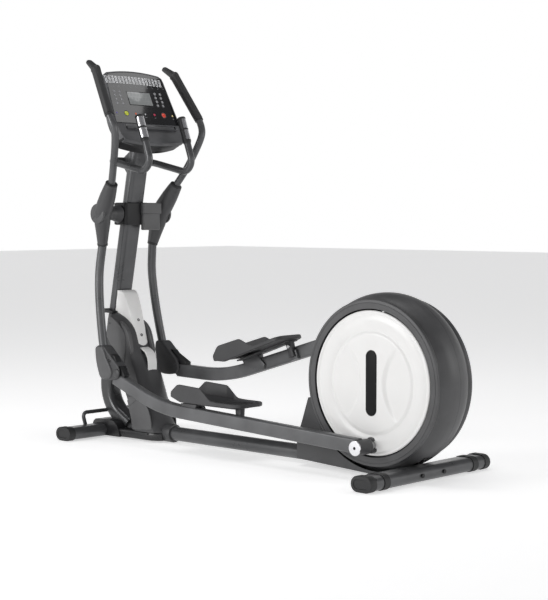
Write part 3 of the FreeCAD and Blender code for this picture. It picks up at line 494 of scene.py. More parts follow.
def drum_half(side, name):
    edge = [(295, 108), (295, 111.4), (295.8, 112), (317.5, 112), (318.2, 110.6), (319.4, 110.6),
            (320.1, 111.8), (329.5, 110.6), (331.6, 109.2), (332, 106.5), (331.6, 99), (329.5, 95)]
    barrel = spline([(327.5, 90), (331, 83.5), (340, 70), (348.5, 52), (354, 30), (356, 9)], 5)
    seam = [(356, 0.5), (355.4, 0.15), (352, 0.15)]
    inner = [(350, 30), (326, 82), (323, 96), (323, 106), (299, 108)]
    line = [(r, side * y) for r, y in edge + barrel + seam + inner]
    half = make(name, turned(line, CRANK.x, CRANK.z, 160))
    skirt = slab([(-300, -400), (300, -400), (300, SKIRT_TOP), (-300, SKIRT_TOP)], -SKIRT_HALF, SKIRT_HALF)
    carve(half, moved(skirt, Matrix.Translation((CRANK.x, 0, CRANK.z))))
    place(half, "shell_plastic", "frame", ["drum_" + name], 25)


def disc_height(r, u, w):
    """How far a disc's face stands from the middle plane, at radius r and at (u, w) along X and Z."""
    if r > RIM_R:
        return 110 - 3.5 * ((r - RIM_R) / 6) ** 2
    if r > STEP_R:
        return 105.6 + 4.4 * math.sin(math.pi / 2 * (r - STEP_R) / 10)
    if r > DISH_R:
        t = (r - DISH_R) / 64
        return 103.6 + 2 * t + 6.2 * math.sin(math.pi * t) ** 0.75
    height = 109 - 5.4 * smooth((r - FACE_R) / 19) ** 1.5
    waist = 50 + 56 * (abs(w) / 136) ** 2
    reach = math.sqrt(max(1, 196 ** 2 - w * w))
    if abs(u) > waist and abs(w) < CRESCENT_HALF:
        run = abs(u) - waist
        fade = max(0, 1 - (w / CRESCENT_HALF) ** 2) ** 0.6
        slope = 22
        far = max(1, reach - waist - slope)
        depth = smooth(run / slope) if run < slope else max(0, 1 - (run - slope) / far)
        height -= 9.4 * depth * fade
    return height


def drive_disc(side, name):
    rings = []
    for step in range(119):
        r = 0.5 + 288.5 * (step / 118)
        face = [(r * c, r * s) for c, s in circle(240)]
        rings.append([(CRANK.x + u, side * disc_height(r, u, w), CRANK.z + w) for u, w in face])
    rings.append([(CRANK.x + 288 * c, side * 99.8, CRANK.z + 288 * s) for c, s in circle(240)])
    disc = make("disc_" + name, loft(rings))
    pin = CRANK.z + side * CRANK_RADIUS
    bore = [(0.01, side * 95), (25, side * 95), (25, side * 125), (0.01, side * 125)]
    carve(disc, turned(bore, CRANK.x, pin, 48, closed=False))
    place(disc, "white_plastic", "crank", ["crank_disc_" + name], 40)
    pill = [(CRANK.x + BADGE_R * c, CRANK.z + math.copysign(BADGE_HALF, s) + BADGE_R * s)
            for c, s in circle(48)]
    piece("badge_" + name, pillow(pill, side * 107, side * 110.6, 0, 1.2), "badge", "crank",
          ["disc_badges"], 50)
    collar = [(24.2, side * 104), (34, side * 104), (34, side * 107.5), (31, side * 109.6),
              (24.2, side * 109.6)]
    piece("pin_collar_" + name, turned(collar, CRANK.x, pin, 64), "cover_plastic", "crank", (), 40)


drum_half(LEFT, "shell_left")
drum_half(RIGHT, "shell_right")
drive_disc(LEFT, "left")
drive_disc(RIGHT, "right")


# ---- swing arms
HORN_START = 0.7


def swing_arm(name, side):
    body = name + "_swing"

    def put(label, shape, look, nodes=(), sharp=34, edge=()):
        return piece(f"{name}_{label}", mirror(shape, side), look, body, nodes, sharp, edge)

    root = Vector((PIVOT.x, 178, PIVOT.z))
    low = spline([(-875, 155, 912), (-889, 162, 800), (-887, 168, 715), (-875, 174, 615), (-856, 180, 510),
                  (-838, 184.5, 428)], 8)
    put("arm_tube", sweep(low, oval(40, 40, 32), (0, 1, 0)), "frame_paint", [name + "_lower_arm"])

    bar = spline([(-775, 195, 1152), (-759, 200, 1181), (-717, 225.5, 1255), (-676, 251, 1345),
                  (-656, 268, 1410), (-661, 275.5, 1449), (-684, 278, 1493), (-700, 275, 1517)], 7)
    put("handle_tube", sweep(bar, oval(33, 33, 32)), "frame_paint", [name + "_handle"])
    line = rounded([(-684, 278, 1493), (-812, 243, 1700), (-872, 232, 1737)], [48], 5)
    rings = []
    for i in range(len(line)):
        horn = smooth((i / (len(line) - 1) - HORN_START) / (1 - HORN_START))
        swell = min(1, 0.9 + i * 0.03)
        rings.append(oval((40 - 8 * horn) * swell, (45 - 22 * horn) * swell, 32, 2.6))
    grip = make(name + "_grip_foam", mirror(sweep(line, rings, (0, 1, 0)), side))
    slope = Matrix.Translation((-874, 232, 1730)) @ Matrix.Rotation(math.radians(32), 4, "Y")
    carve(grip, mirror(moved(slab([(-60, -60), (-5, -60), (-5, 60), (-60, 60)], -60, 60), slope), side))
    bevelled(grip, 2.2, 3, 40)
    place(grip, "grip_foam", body, [name + "_grip"])
    end = bar[-8]
    ring = spline([tuple(end + (end - bar[-9]) * -1.4), tuple(end)], 2)
    put("grip_ring", sweep(ring, oval(40.5, 40.5, 32)), "rubber", (), 34, (1, 2, 50))

    hub = [(0.01, 79.5), (40, 79.5), (43, 84), (38, 96), (31, 116), (28.5, 136), (30.5, 152),
           (37, 166), (41.5, 178), (43, 192), (42, 203), (0.01, 203)]
    forms = [turned(hub, PIVOT.x, PIVOT.z, 64, closed=False)]
    arms = (("upper", Vector((-757, 201, 1184)), (84, 84, 77, 66, 58), 28.5),
            ("lower", Vector((-876, 155.5, 905)), (80, 78, 64, 54, 48), 24.5))
    for label, end, sizes, r in arms:
        path = [root.lerp(end, t) for t in (0, 0.3, 0.6, 0.85, 1)]
        forms.append(sweep(path, [oval(s, s * 0.94, 40) for s in sizes]))
    casting = make(name + "_hub_casting", mirror(merge(*forms), side))
    melt(casting, 3, 5)
    place(casting, "cover_plastic", body, [name + "_swing_hub"], 60)
    for label, end, sizes, r in arms:
        away = (end - root).normalized()
        path = [end - away * 9, end - away * 7, end + away * 1, end + away * 3]
        lip = sweep(path, [oval(2 * r * k, 2 * r * k, 40) for k in (0.96, 1, 1, 0.93)])
        put(label + "_lip", lip, "rubber", (), 50)
    cap = [(0.01, 202), (45.2, 202), (45.9, 203.5), (46, 209), (45, 211.4), (42, 212.8),
           (20, 213.4), (0.01, 213.5)]
    lid = make(name + "_hub_cap", mirror(turned(cap, PIVOT.x, PIVOT.z, 72, closed=False), side))
    groove = Matrix.Translation((PIVOT.x, 0, PIVOT.z)) @ Matrix.Rotation(math.radians(-38), 4, "Y")
    line = slab([(-60, -0.7), (60, -0.7), (60, 0.7), (-60, 0.7)], 211.6, 220)
    carve(lid, mirror(moved(line, groove), side))
    place(lid, "shell_plastic", body, (), 30)
    collar = [(41.5, 202.2), (41.5, 200.2), (44.5, 200.2), (44.5, 202.2)]
    put("cap_gap", turned(collar, PIVOT.x, PIVOT.z, 64), "rubber")

    # joint cover: a hood open to the rear for the pedal arm, with a plate on its outer cheek
    hood = spline([(-858, 440), (-838, 444), (-812, 443), (-788, 424), (-752, 392), (-712, 358), (-699, 338),
                   (-699, 316), (-714, 298), (-745, 290), (-786, 287), (-828, 294), (-846, 330), (-858, 372),
                   (-863, 410)], 4, closed=True)
    cover = make(name + "_joint_hood", mirror(pillow(hood, 154.5, 212, 8, 5), side))
    slot = [(-836, 150), (-600, 150), (-600, 352), (-716, 356), (-770, 398), (-790, 404), (-816, 392),
            (-836, 340)]
    carve(cover, mirror(slab(slot, 163.6, 207.4), side))
    melt(cover, 2.2, 3)
    place(cover, "cover_plastic", body, [name + "_joint_cover"], 60)
    leaf = spline([(-860, 436), (-838, 443), (-815, 441), (-796, 418), (-784, 392), (-766, 366), (-750, 340),
                   (-748, 318), (-762, 298), (-788, 290), (-826, 296), (-844, 330), (-857, 372), (-862, 410)],
                  4, closed=True)
    put("joint_cheek", pillow(inset_line(leaf, 1), 210, 219.5, 0, 8, 5), "panel_plastic", (), 50)
    axle = [(0.01, 158), (10, 158), (10, 212), (0.01, 212)]
    put("joint_axle", turned(axle, JOINT.x, JOINT.z, 32, closed=False), "steel", [name + "_joint_bolt"], 30)
    for label, y in (("in", 158.5), ("out", 213)):
        boss = [(0.01, y - 6), (17, y - 6), (19.5, y - 3), (19.5, y + 3), (16, y + 5.5),
                (0.01, y + 5.5)]
        put("joint_boss_" + label, turned(boss, -717, 324, 40, closed=False), "cover_plastic", (), 40)


for name, side in SIDES:
    swing_arm(name, side)


# ---- mast foot, shroud and covers
FRONT_X, REAR_X, FOOT_Z = -977, 868, 31.5


def both_sides(half, z, middle=()):
    """A ring at height z from its half's (x, y) points, with any middle points along X between them."""
    near = [(x, -y, z) for x, y in half]
    return near + [(x, 0, z) for x in middle] + [(x, y, z) for x, y in reversed(half)]


def stacked(rows, ring_at):
    """A form stacked upwards: the rows are smoothed, and each one becomes a ring."""
    return loft([ring_at(*row) for row in spline(rows, 4)])


def mast_foot():
    line = [(-943, 0, 592), (-998, 0, 300), (-1024, 0, 151), (-852, 0, 55)]
    strut = sweep(rounded(line, [400, 170], 4), soft_box(84, 80, 30, 7), (0, 1, 0))
    piece("mast_foot_tube", strut, "bow_paint", "frame", ["mast_foot"], 40)


# height, then the places along X of the front, the side's rear corner and the rear
SHROUD_ROWS = [(45.5, -755, -625, -606), (61, -757, -628, -606), (109, -769, -655, -632),
               (150, -786, -672, -650), (202, -810, -692, -669), (260, -838, -715, -692),
               (319, -862, -740, -714), (360, -878, -760, -730), (400, -890, -778, -744),
               (423, -902, -787, -757), (450, -920, -798, -768), (486, -944, -810, -780),
               (512, -942, -824, -794), (536, -936, -852, -812), (562, -929, -900, -848),
               (580, -924, -915, -886), (588, -921, -916, -908)]


def shroud_ring(z, front, corner, rear):
    belly = 9 * smooth((430 - z) / 120)
    half = [(front + 7, 78), (corner - 5, 78), (corner + 3, 74), (rear - 3, 52), (rear + 2, 44),
            (rear + belly, 22)]
    return both_sides(half, z, [rear + belly * 1.15]) + [(front, y, z) for y in (70, 0, -70)]


def shroud():
    body = make("shroud_body", stacked(SHROUD_ROWS, shroud_ring))
    channel = [(-1000, 700), (-860, 700), (-800, 560), (-790, 528), (-700, 528), (-700, 700)]
    carve(body, slab(channel, -39, 39))
    channel = [(-812, 535), (-800, 500), (-776, 450), (-752, 396), (-700, 396), (-700, 535)]
    carve(body, slab(channel, -34, 34))
    bevelled(body, 3, 3, 28)
    place(body, "cover_plastic", "frame", ["shroud_left", "shroud_right"], 40)
    leaf = spline([(-926, 566), (-905, 565), (-872, 548), (-838, 522), (-816, 494), (-808, 455), (-810, 400),
                   (-822, 350), (-848, 322), (-866, 345), (-893, 410), (-930, 462), (-942, 486), (-934, 530)],
                  4, closed=True)
    sill = [(-797, 181), (-789, 200), (-760, 204), (-715, 200), (-690, 188), (-668, 170), (-652, 150),
            (-640, 120), (-634, 92), (-632, 66), (-640, 60), (-758, 50), (-764, 60), (-772, 104), (-786, 148)]
    turn = Matrix.Translation((-752, 0, 176)) @ Matrix.Rotation(math.radians(-33), 4, "Y")
    groove = moved(slab([(-30, -0.9), (30, -0.9), (30, 0.9), (-30, 0.9)], 79, 84), turn)
    fin = [(-982, 590), (-976, 600), (-958, 604), (-930, 598), (-900, 592), (-905, 582), (-944, 584),
           (-962, 584), (-974, 582)]
    for name, side in SIDES:
        piece("shroud_leaf_" + name, mirror(pillow(leaf, 76, 80.6, 0, 2.2), side), "panel_plastic",
              sharp=30)
        plate = make("shroud_sill_" + name, mirror(pillow(sill, 76, 80.6, 0, 2.2), side))
        carve(plate, mirror(groove, side))
        place(plate, "panel_plastic", "frame", (), 30)
        screw(f"leaf_screw_{name}", (-915, side * 80.4, 536), (0, side, 0), 4.2)
        screw(f"sill_screw_{name}", (-660, side * 76, 37), (0, side, 0), 4)
        piece("shroud_lip_" + name, mirror(pillow(fin, 40, 77, 3, 3), side), "rubber", sharp=40)


def wings():
    """The fins that rise beside the white cover from the shroud's rear corners."""
    outline = spline([(-852, 548), (-826, 536), (-804, 514), (-790, 488), (-778, 450), (-768, 414),
                      (-772, 396), (-792, 408), (-812, 440), (-826, 480), (-846, 520)], 4, closed=True)
    for name, side in SIDES:
        fin = mirror(pillow(outline, 52, 76, 4, 6), side)
        piece("shroud_wing_" + name, fin, "panel_plastic", sharp=40)


def screw(name, where, facing, r):
    """A dark socket screw, with its face just proud of the surface."""
    turn = Vector(facing).to_track_quat("Y", "Z").to_matrix().to_4x4()
    line = [(0.01, -3), (r, -3), (r, 0.5), (r * 0.9, 1.1), (r * 0.56, 1.1), (r * 0.5, -1.4), (0.01, -1.5)]
    head = moved(turned(line, 0, 0, 32, closed=False), Matrix.Translation(where) @ turn)
    piece(name, head, "bolt_black", sharp=30)


# height, then the places along X of the side's rear edge and the rear, and the half width
COVER_ROWS = [(402, -775, -760, 31), (422, -796, -767, 32), (470, -821, -781, 33), (517, -858, -795, 35),
              (545, -879, -804, 36), (584, -908, -816, 38), (612, -903, -826, 40), (640, -898, -837, 41.5),
              (668, -891, -851, 42.5), (682, -889, -862, 43), (690, -890, -876, 42)]


def cover_ring(z, side_x, rear, half):
    edge = [(side_x - 6, half + 6.5), (side_x, half + 6.5), (rear - 3.5, half + 0.4),
            (rear - 0.5, half - 2.5), (rear + 1, half * 0.5)]
    return both_sides(edge, z, [rear + 1.6])


def mast_cover():
    body = make("mast_cover_shell", stacked(COVER_ROWS, cover_ring))
    carve(body, sweep([(-943, 0, 588), (-918.8, 0, 699)], soft_box(101, 57, 22, 5), (0, 1, 0)))
    bevelled(body, 1.6, 2, 32)
    place(body, "white_plastic", "frame", ["mast_cover"], 32)
    line = spline([(-766, 424), (-750, 418), (-730, 406), (-717, 386), (-711, 362), (-710, 338),
                   (-713, 314)], 4)
    tongue = sweep([(x, 0, z) for x, z in line], soft_box(53, 7, 2.5, 4), (0, 1, 0))
    piece("mast_cover_tongue", tongue, "white_plastic", sharp=40)
    for i, (x, z, lean) in enumerate(((-804, 553, 0.34), (-782.4, 484, 0.33))):
        screw(f"cover_screw_{i}", (x, 0, z), (1, 0, lean), 6.6)


def base_cover():
    front = [(-1029.5, 6), (-1029.5, 58), (-1024, 69), (-1010, 79), (-990, 82), (-905, 82), (-880, 78),
             (-862, 64), (-846, 40), (-838, 8)]
    block = make("base_front_block", slab(front, -91.5, 91.5))
    for side in (LEFT, RIGHT):
        tube = sweep([(FRONT_X, side * 40, FOOT_Z), (FRONT_X, side * 120, FOOT_Z)], soft_box(98, 58, 28.6, 8),
                     (1, 0, 0))
        carve(block, tube)
    bevelled(block, 3.5, 3, 30)
    place(block, "base_gloss", "frame", ["base_cover"], 30)
    plan = [(-858, 90), (-820, 82), (-770, 78), (-690, 77), (-640, 74), (-612, 60), (-598, 44)]
    layers = ((8, -3), (14, 0), (36, 0), (44, -3), (46, -8))
    rings = [both_sides([(x, y + grow) for x, y in plan], z) for z, grow in layers]
    piece("base_sill", loft(rings), "base_gloss", sharp=30, edge=(2, 2, 28))
    rings = []
    for x, r in ((-640, 39), (-612, 41.5), (-580, 42.2), (-562, 42.2), (-558, 41), (-556.5, 38),
                 (-556.5, 32.4), (-640, 32.4)):
        rings.append([(x, r * c, 43 + r * s) for c, s in circle(64)])
    piece("base_collar", loft(rings, closed=True), "cover_plastic", sharp=40)


def pivot_block():
    """The black collar round the mast, and the stepped block beside the right arm."""
    lean = Matrix.Translation((PIVOT.x, 0, PIVOT.z))
    rings = []
    for z, k in ((-52, 0.9), (-49, 1), (49, 1), (52, 0.9)):
        rings.append([(x, y, z) for x, y in soft_box(88 * k + 2, 150 * k + 2, 17, 6)])
    piece("pivot_collar", moved(loft(rings), lean), "black_plastic", "frame", ["pivot_housing"], 30,
          (2, 3, 30))
    for label, low, high, face, y0, y1 in (("upper", 1048, 1099, -784, 16, 134),
                                          ("lower", 972, 1050, -788, 20, 126)):
        rings = []
        for z, k in ((low, 3), (low + 3, 0), (high - 3, 0), (high, 3)):
            rings.append([((face - 810) / 2 + x, (y0 + y1) / 2 + y, z)
                          for x, y in soft_box(face + 810 - 2 * k, y1 - y0 - 2 * k, 8, 4)])
        piece("collar_block_" + label, loft(rings), "panel_plastic", sharp=30)


mast_foot()
shroud()
wings()
mast_cover()
base_cover()
pivot_block()


# ---- pedal arms, pins and pedals
# the pin's place from the joint, on the left arm at rest
PIN_X, PIN_Z = 1457, -249
WALL_TOP = [(394, -118), (404, -108), (440, -78), (452, -74.5), (580, -81), (592, -86), (640, -126),
            (654, -132), (690, -134.5), (817, -135.5)]
RIB_COUNT, RIB_PITCH, RIB_START, RIB_Z = 17, 18.5, 476, -145


def arm_frame(side):
    """From places measured at the joint on the left arm at rest to the part's frame, on either side."""
    turn = 2 * math.atan2(CRANK_RADIUS, CRANK.x - JOINT.x) if side == RIGHT else 0
    return Matrix.Translation((JOINT.x, 0, JOINT.z)) @ Matrix.Rotation(-turn, 4, "Y")


def wall_top(x):
    """The height of a pedal's side wall."""
    for (x0, z0), (x1, z1) in zip(WALL_TOP, WALL_TOP[1:]):
        if x <= x1:
            return z0 + (z1 - z0) * max(0, x - x0) / (x1 - x0)
    return WALL_TOP[-1][1]


def wall_foot(x):
    return -134 - 19 * smooth((x - 392) / 78)


def tray_outline():
    """The tray's plan: round corners, with points at most 9 mm apart between them."""
    plan = []
    for cx, cy, r, start in ((777, 170, 40, 0), (412, 192, 18, 1), (412, 54, 18, 2), (777, 76, 40, 3)):
        for i in range(9):
            a = math.pi / 2 * (start + i / 8)
            plan.append((cx + r * math.cos(a), cy + r * math.sin(a)))
    dense = []
    for i, (x, y) in enumerate(plan):
        nx, ny = plan[(i + 1) % len(plan)]
        steps = max(1, round(math.hypot(nx - x, ny - y) / 9))
        dense += [(x + (nx - x) * k / steps, y + (ny - y) * k / steps) for k in range(steps)]
    return dense


def tray_ring(outline, inwards, height, lift):
    """The outline drawn in towards the tray's middle, at a height that follows x."""
    made = []
    for x, y in outline:
        dx, dy = 606 - x, 123 - y
        fx = math.copysign(min(inwards, abs(dx)), dx) if abs(dx) > 150 else 0
        fy = math.copysign(min(inwards, abs(dy)), dy) if abs(dy) > 40 else 0
        made.append((x + fx, y + fy, height(x) + lift))
    return made


def pedal(name, side):
    body = name + "_pedal"
    to_arm = arm_frame(side)

    def put(label, shape, look, nodes=(), sharp=30, edge=0):
        bevel = (edge, 2, 32) if edge else ()
        return piece(f"{name}_{label}", moved(mirror(shape, side), to_arm), look, body, nodes, sharp, bevel)

    line = rounded([(20, 185.5, -80), (312, 185.5, -190), (PIN_X, 185.5, -242)], [900], 2)
    put("arm_beam", sweep(line, soft_box(41, 60, 9, 5), (0, 1, 0)), "arm_paint", [name + "_pedal_arm"], 40)
    # the joint head inside the hood's slot is coloured black, much darker than the arm's paint: painted shade
    # inside the slot
    head = [(-27, 2), (-18, 22), (2, 29), (22, 20), (34, -2), (92, -62), (60, -120), (8, -108), (-14, -60),
            (-25, -14)]
    put("joint_head", slab(head, 170, 201), "black_plastic", edge=2)
    housing = [(12.5, 129.6), (28, 129.6), (30.4, 131.5), (31, 160), (31, 168), (31, 203),
               (30.2, 206.6), (27, 207.2), (12.5, 207.2)]
    put("pin_housing", turned(housing, PIN_X, PIN_Z, 72), "shell_plastic", (), 40)
    cap = [(0.01, 206), (29.4, 206), (30, 207.2), (30, 209.2), (28.6, 210.8), (24, 211.4),
           (0.01, 211.6)]
    face = turned(cap, PIN_X, PIN_Z, 72, closed=False)
    thing = make(name + "_pin_cap", moved(mirror(face, side), to_arm))
    hexagon = [(PIN_X + 7 * math.cos(math.pi / 3 * i), PIN_Z + 7 * math.sin(math.pi / 3 * i))
               for i in range(6)]
    carve(thing, moved(mirror(slab(hexagon, 207.6, 220), side), to_arm))
    place(thing, "sensor_steel", body, [name + "_crank_pin"], 30)
    socket = [(0.01, 207.7), (7.6, 207.7), (7.6, 208.1), (0.01, 208.1)]
    put("pin_socket", turned(socket, PIN_X, PIN_Z, 24, closed=False), "bolt_black")

    # the pedal: a tray with high side walls in front and a low rim behind
    outline = tray_outline()
    layers = ((12, wall_foot, 0), (3, wall_foot, 0.6), (0, wall_foot, 4), (0, wall_top, -2.5),
              (2, wall_top, 0), (5.5, wall_top, 0), (7.5, wall_top, -2.5), (9, wall_foot, 12),
              (12, wall_foot, 9))
    put("pedal_tray", loft([tray_ring(outline, *layer) for layer in layers]), "tread", [name + "_pedal"], 38)
    ribs = []
    for i in range(RIB_COUNT):
        x = RIB_START + i * RIB_PITCH
        ribs.append(slab([(x, RIB_Z), (x + 5, RIB_Z), (x + 4, RIB_Z + 3.2), (x + 1, RIB_Z + 3.2)],
                         56, 190))
    put("pedal_ribs", merge(*ribs), "grip_foam")
    rail = [(470, -158.5), (470, -152.5), (786, -152.5), (786, -158.5)]
    put("pedal_rail", slab(rail, 112, 190), "cover_plastic", [name + "_pedal_mount"], edge=1.2)
    gusset = [(462, -156), (560, -156), (590, -208), (574, -232), (470, -186)]
    put("mount_gusset", slab(gusset, 156, 164.4), "arm_paint", edge=1.4)
    foot = [(458, -157), (556, -157), (540, -196), (470, -178)]
    put("mount_foot", slab(foot, 165, 201), "cover_plastic", edge=1.5)
    post = [(756, -156), (790, -156), (787, -200), (789, -226), (757, -226), (760, -200)]
    put("mount_post", slab(post, 138, 163.8), "cover_plastic", edge=2)
    clamp = [(748, -196), (797, -198), (796, -240), (749, -238)]
    put("post_clamp", slab(clamp, 150, 164.6), "arm_paint", edge=1.5)
    pin = [(0.01, 132), (7, 132), (8, 134), (8, 138.5), (0.01, 138.5)]
    put("post_pin", turned(pin, 773, -178, 24, closed=False), "steel")


for name, side in SIDES:
    pedal(name, side)


# ---- console
TILT = math.radians(24.2)
FACE = Matrix.Translation((-730, 0, 1461)) @ Matrix(((0, -math.sin(TILT), math.cos(TILT), 0), (1, 0, 0, 0),
                                                     (0, math.cos(TILT), math.sin(TILT), 0), (0, 0, 0, 1)))
# the row of quick keys and buttons: its height on the face, then each key's place across, look and radius
KEY_V = 49
QUICK_KEYS = ((-174, "key_violet", 4.2), (-59, "key_orange", 5), (0, "led_white", 3.2),
              (57, "key_magenta", 6.4), (170, "key_yellow", 4.6))
PAD_COLUMNS = (-152, 98)


def face_outline(margin=0, lower=0):
    """The console's outline (across, up): straight sides, arched top, and a curved lower edge."""
    low, top, high = 201 - margin, 181 - margin, 244 - margin
    corners = [(top - 4, high + 3), (top - 22, high + 14)]
    arch = [(u, high + 14 + 14 * (1 - (u / (top - 22)) ** 2)) for u in range(140, -141, -20)]
    points = [(low + 0.4, 20), (top + 1, high - 16)] + corners + arch
    points += [(22 - top, high + 14), (4 - top, high + 3)]
    points += [(-top - 1, high - 16), (-low - 0.4, 20)]
    if lower:
        depth = lower - margin
        points += [(-low, 0), (12 - low, 6 - depth)]
        points += [(u, -depth - 25 * (1 - (u / (low - 24)) ** 2)) for u in range(-160, 161, 40)]
        points += [(low - 12, 6 - depth), (low, 0)]
    else:
        points += [(margin - 201, 1), (201 - margin, 1)]
    return points


def console_part(name, layers, look, nodes=(), lower=85):
    rings = [[(u, v, n) for u, v in face_outline(margin, lower)] for margin, n in layers]
    piece(name, moved(loft(rings), FACE), look, "frame", nodes, 36)


def face_box(u0, u1, v0, v1, n0, n1):
    return loft([[(u, v, n) for u, v in ((u0, v0), (u1, v0), (u1, v1), (u0, v1))] for n in (n0, n1)])


def face_piece(name, shape, look, nodes=(), sharp=30, edge=0, body="frame"):
    piece(name, moved(shape, FACE), look, body, nodes, sharp, (edge, 3, 40) if edge else ())


def face_disc(u, v, r, n0, n1, crown=0, count=36):
    """A round key, with a crowned face."""
    layers = ((1, n0), (1, n1 - crown), (0.93, n1 - crown * 0.4), (0.75, n1 - crown * 0.1), (0.4, n1))
    return loft([[(u + r * k * c, v + r * k * s, n) for c, s in circle(count)] for k, n in layers])


def bowed_ring(v, half, curve, front, rear):
    """A ring across the console, whose lower edge hangs down by curve in the middle."""
    places = [half * (i / 12 - 1) for i in range(25)]
    line = [(u, v - curve * (1 - (u / half) ** 2), front) for u in places]
    return line + [(u, w, rear) for u, w, n in reversed(line)]


def console_shell():
    console_part("console_back_shell", [(34, -74.5), (22, -73), (9, -60), (4, -40), (3, -24), (3, -21.5)],
                 "console_plastic", ["console_back", "control_board"])
    console_part("console_rim", [(4, -22), (1.5, -20), (0, -16), (0, -5), (1.2, -1.5), (3.5, 0), (8, 0),
                                 (8, -3)], "console_rim", ["console_bezel"])
    console_part("console_glass", [(6.5, -3), (6.5, -0.4), (7.5, 0.4), (9.5, 0.6)], "console_gloss",
                 ["console_panel"], lower=0)
    # lower tray: a shallow lip that leans out, with a black underside
    rings = []
    for push, v, k in ((0, -2, 1), (2, -8, 1), (3, -40, 0.99), (9, -70, 0.975),
                       (14, -82, 0.96), (13, -88, 0.95), (4, -92, 0.94), (-12, -95, 0.93)):
        rings.append(bowed_ring(v, 196 * k, max(0, (-v - 40) / 55) * 22, push, -14))
    face_piece("console_tray", loft(rings), "tray_plastic", (), 40)
    rings = []
    for v, k, front in ((-80, 0.955, 9), (-88, 0.95, 8), (-95, 0.9, -6), (-97, 0.86, -30)):
        rings.append(bowed_ring(v, 198 * k, 22, front, -66))
    face_piece("console_under", loft(rings), "black_plastic", (), 40)
    face_piece("rack_recess", face_box(-147, 163, -33, -9, 0, 3.4), "console_gloss", ["reading_rack"],
               edge=0.8)
    face_piece("rack_ledge", face_box(-143, 159, -33, -29.5, 3, 15), "tray_plastic", edge=1.2)
    face_piece("rack_floor", face_box(-138, 154, -28, -12, 3, 4.2), "console_rim", edge=0.6)


def lcd():
    face_piece("lcd_frame", face_box(-78, 70, 93, 164, 0.4, 1), "console_gloss", edge=0.4)
    face_piece("lcd_screen", face_box(-74, 66, 96.5, 160.5, 0.9, 1.5), "display", ["console_display"],
               edge=0.4)
    cells = []
    for i in range(13):
        for k in range(3):
            u, v = -68 + i * 10.2, 102 + k * 19
            cells.append(face_box(u, u + 6.6, v, v + 1.1, 1.4, 1.62))
            cells.append(face_box(u, u + 1.1, v, v + 12, 1.4, 1.62))
            cells.append(face_box(u, u + 6.6, v + 11, v + 12.1, 1.4, 1.62))
            if (i + k) % 2:
                cells.append(face_box(u + 5.5, u + 6.6, v, v + 12, 1.4, 1.62))
    face_piece("lcd_segments", merge(*cells), "lcd_ink")


def led_profile():
    """A profile of lit segments: columns of small dashes."""
    glyphs = []
    for i in range(17):
        u = -184 + i * 20.6
        lift = 4 * (1 - ((i - 8) / 8) ** 2) - 4
        for k in range(6):
            v = 205 + lift + k * 6.4 - i * 0.12
            if k in (0, 2, 3, 5) or (i + k) % 2:
                glyphs.append(face_box(u + 1, u + 12.6, v, v + 2.6, 0.5, 1.1))
            left = u if (i + k) % 3 else u + 4.2
            glyphs.append(face_box(left, left + 3, v, v + 5, 0.5, 1.1))
            glyphs.append(face_box(u + 10.4, u + 13.4, v, v + 5, 0.5, 1.1))
    face_piece("led_profile", merge(*glyphs), "led_white")
    icons = []
    for i in range(11):
        rise = 0.6 * i
        icons.append(face_disc(-180 + i * 34.5, 190 + rise, 1.9 if i % 2 else 1.4, 0.4, 0.95, 0.1, 10))
        icons.append(face_box(-186 + i * 34.5, -174 + i * 34.5, 182.4 + rise, 183.3 + rise, 0.4, 0.9))
    face_piece("icon_row", merge(*icons), "mark_grey")


def keys():
    pads, ticks = [], []
    for base in PAD_COLUMNS:
        for row in range(4):
            for column in range(2):
                u, rise = base + column * 33, row * 20
                pads.append(face_disc(u + (1.5 if row % 2 else 0), 99 + rise, 7.6, 0.4, 1.5, 0.8, 24))
                ticks.append(face_box(u - 2.6, u + 2.6, 98.4 + rise, 99.6 + rise, 1.3, 1.75))
    face_piece("key_pads", merge(*pads), "key_grey")
    face_piece("key_marks", merge(*ticks), "led_white")
    for i, (u, look, r) in enumerate(QUICK_KEYS):
        face_piece(f"quick_key_{i}", face_disc(u, KEY_V, r, 0.4, 2, 1, 28), look)
    marks = [face_box(u - 6, u + 6, KEY_V - 17, KEY_V - 15.8, 0.4, 0.95) for u, look, r in QUICK_KEYS]
    face_piece("quick_marks", merge(*marks), "mark_grey")


def button(name, u, look):
    body = name + "_button"
    collar = ((14.6, 0.4), (14.6, 1.4), (13.6, 1.9), (12.3, 1.6), (12.3, -3), (14, -3))
    rings = [[(u + k * c, KEY_V + k * s, n) for c, s in circle(48)] for k, n in collar]
    face_piece(name + "_bezel", loft(rings, closed=True), "console_rim", (), 40)
    face_piece(name + "_key", face_disc(u, KEY_V, 11.7, -4, 2, 1.6, 48), look, [body], 40, body=body)
    mark = face_box(u - 3.4, u + 3.4, KEY_V - 0.8, KEY_V + 0.8, 1.8, 2.2)
    face_piece(name + "_mark", mark, "mark_dark", body=body)


def console():
    console_shell()
    lcd()
    led_profile()
    keys()
    button("start", -115, "button_start")
    button("stop", 115, "button_stop")
    for i in range(9):
        vent = face_box(-90 + i * 20, -80 + i * 20, 120, 190, -75.6, -73.8)
        face_piece(f"back_vent_{i}", vent, "rubber", edge=0.6)


console()


# ---- pulse grips
SLEEVE_R = 19
PLATE_STEP = math.radians(5.4)


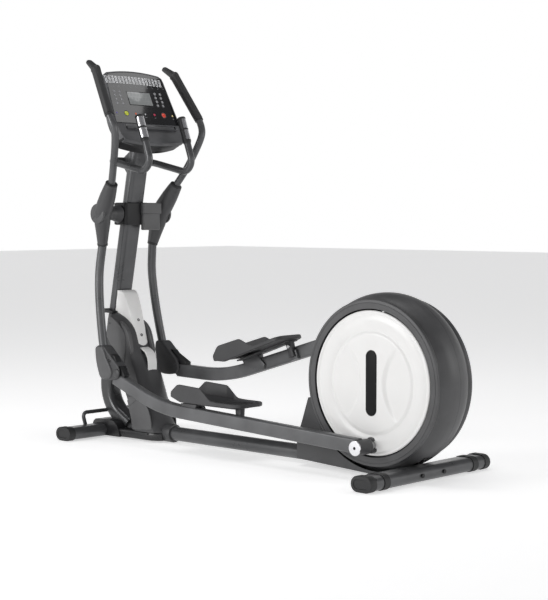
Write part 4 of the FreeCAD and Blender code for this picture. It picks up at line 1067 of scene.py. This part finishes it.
def pulse_grips():
    across = Vector((0, 1, 0))
    for name, side in SIDES:
        top, low = Vector((-648, side * 130, 1490)), Vector((-553, side * 130, 1226))
        down = (low - top).normalized()
        facing = across.cross(down).normalized()
        if facing.x < 0:
            facing = -facing
        start = top - down * 3

        def spot(distance, angle, r):
            return start + down * distance + (across * math.cos(angle) + facing * math.sin(angle)) * r

        def hoops(offset, sizes):
            return loft([[spot(offset + d, 2 * math.pi * i / 40, r) for i in range(40)] for d, r in sizes])

        sleeve = ((0, 13), (0.6, 16.5), (2.5, 18.6), (6, SLEEVE_R), (122, SLEEVE_R), (126, 18.4), (128, 16.4))
        piece(name + "_pulse_sleeve", hoops(0, sleeve), "grip_foam", "frame", ["pulse_grips"], 36)
        middle = math.radians(90 - side * 22)
        turns = [middle + PLATE_STEP * (i - 12) for i in range(25)]
        for k, offset in enumerate((11, 65)):
            rings = []
            for d, r in ((0, 18.9), (0.8, 19.8), (46, 19.8), (46.8, 18.9)):
                outer = [spot(offset + d, a, r) for a in turns]
                rings.append(outer + [spot(offset + d, a, 18) for a in reversed(turns)])
            piece(f"{name}_pulse_plate_{k}", loft(rings), "sensor_steel", "frame", ["pulse_sensors"], 36)
        for k, offset in enumerate((5, 59, 113.5)):
            band = ((0, 18.8), (0.5, 20.3), (4.4, 20.3), (4.9, 18.8))
            piece(f"{name}_pulse_band_{k}", hoops(offset, band), "rubber", sharp=36)


pulse_grips()


# ---- stabiliser ends
def stabiliser_ends():
    for label, x, half in (("front", FRONT_X, 309), ("rear", REAR_X, 378)):
        for name, side in SIDES:
            rings = []
            for y, grow, corner in ((half - 28, 0, 28), (half - 28, 3, 31), (half - 26, 3.6, 31.5),
                                    (half + 4, 3.4, 31.5), (half + 7, 1.6, 30), (half + 8, -1.5, 27),
                                    (half + 8, -10, 18), (half + 5.2, -11.5, 17)):
                width = 2 * min(grow, 3)
                rings.append([(x + u, side * y, FOOT_Z + v)
                              for u, v in soft_box(97 + width, 57 + width, corner, 8)])
            piece(f"{label}_cap_{name}", loft(rings), "rubber", "frame", ["stabiliser_end_caps"])


stabiliser_ends()
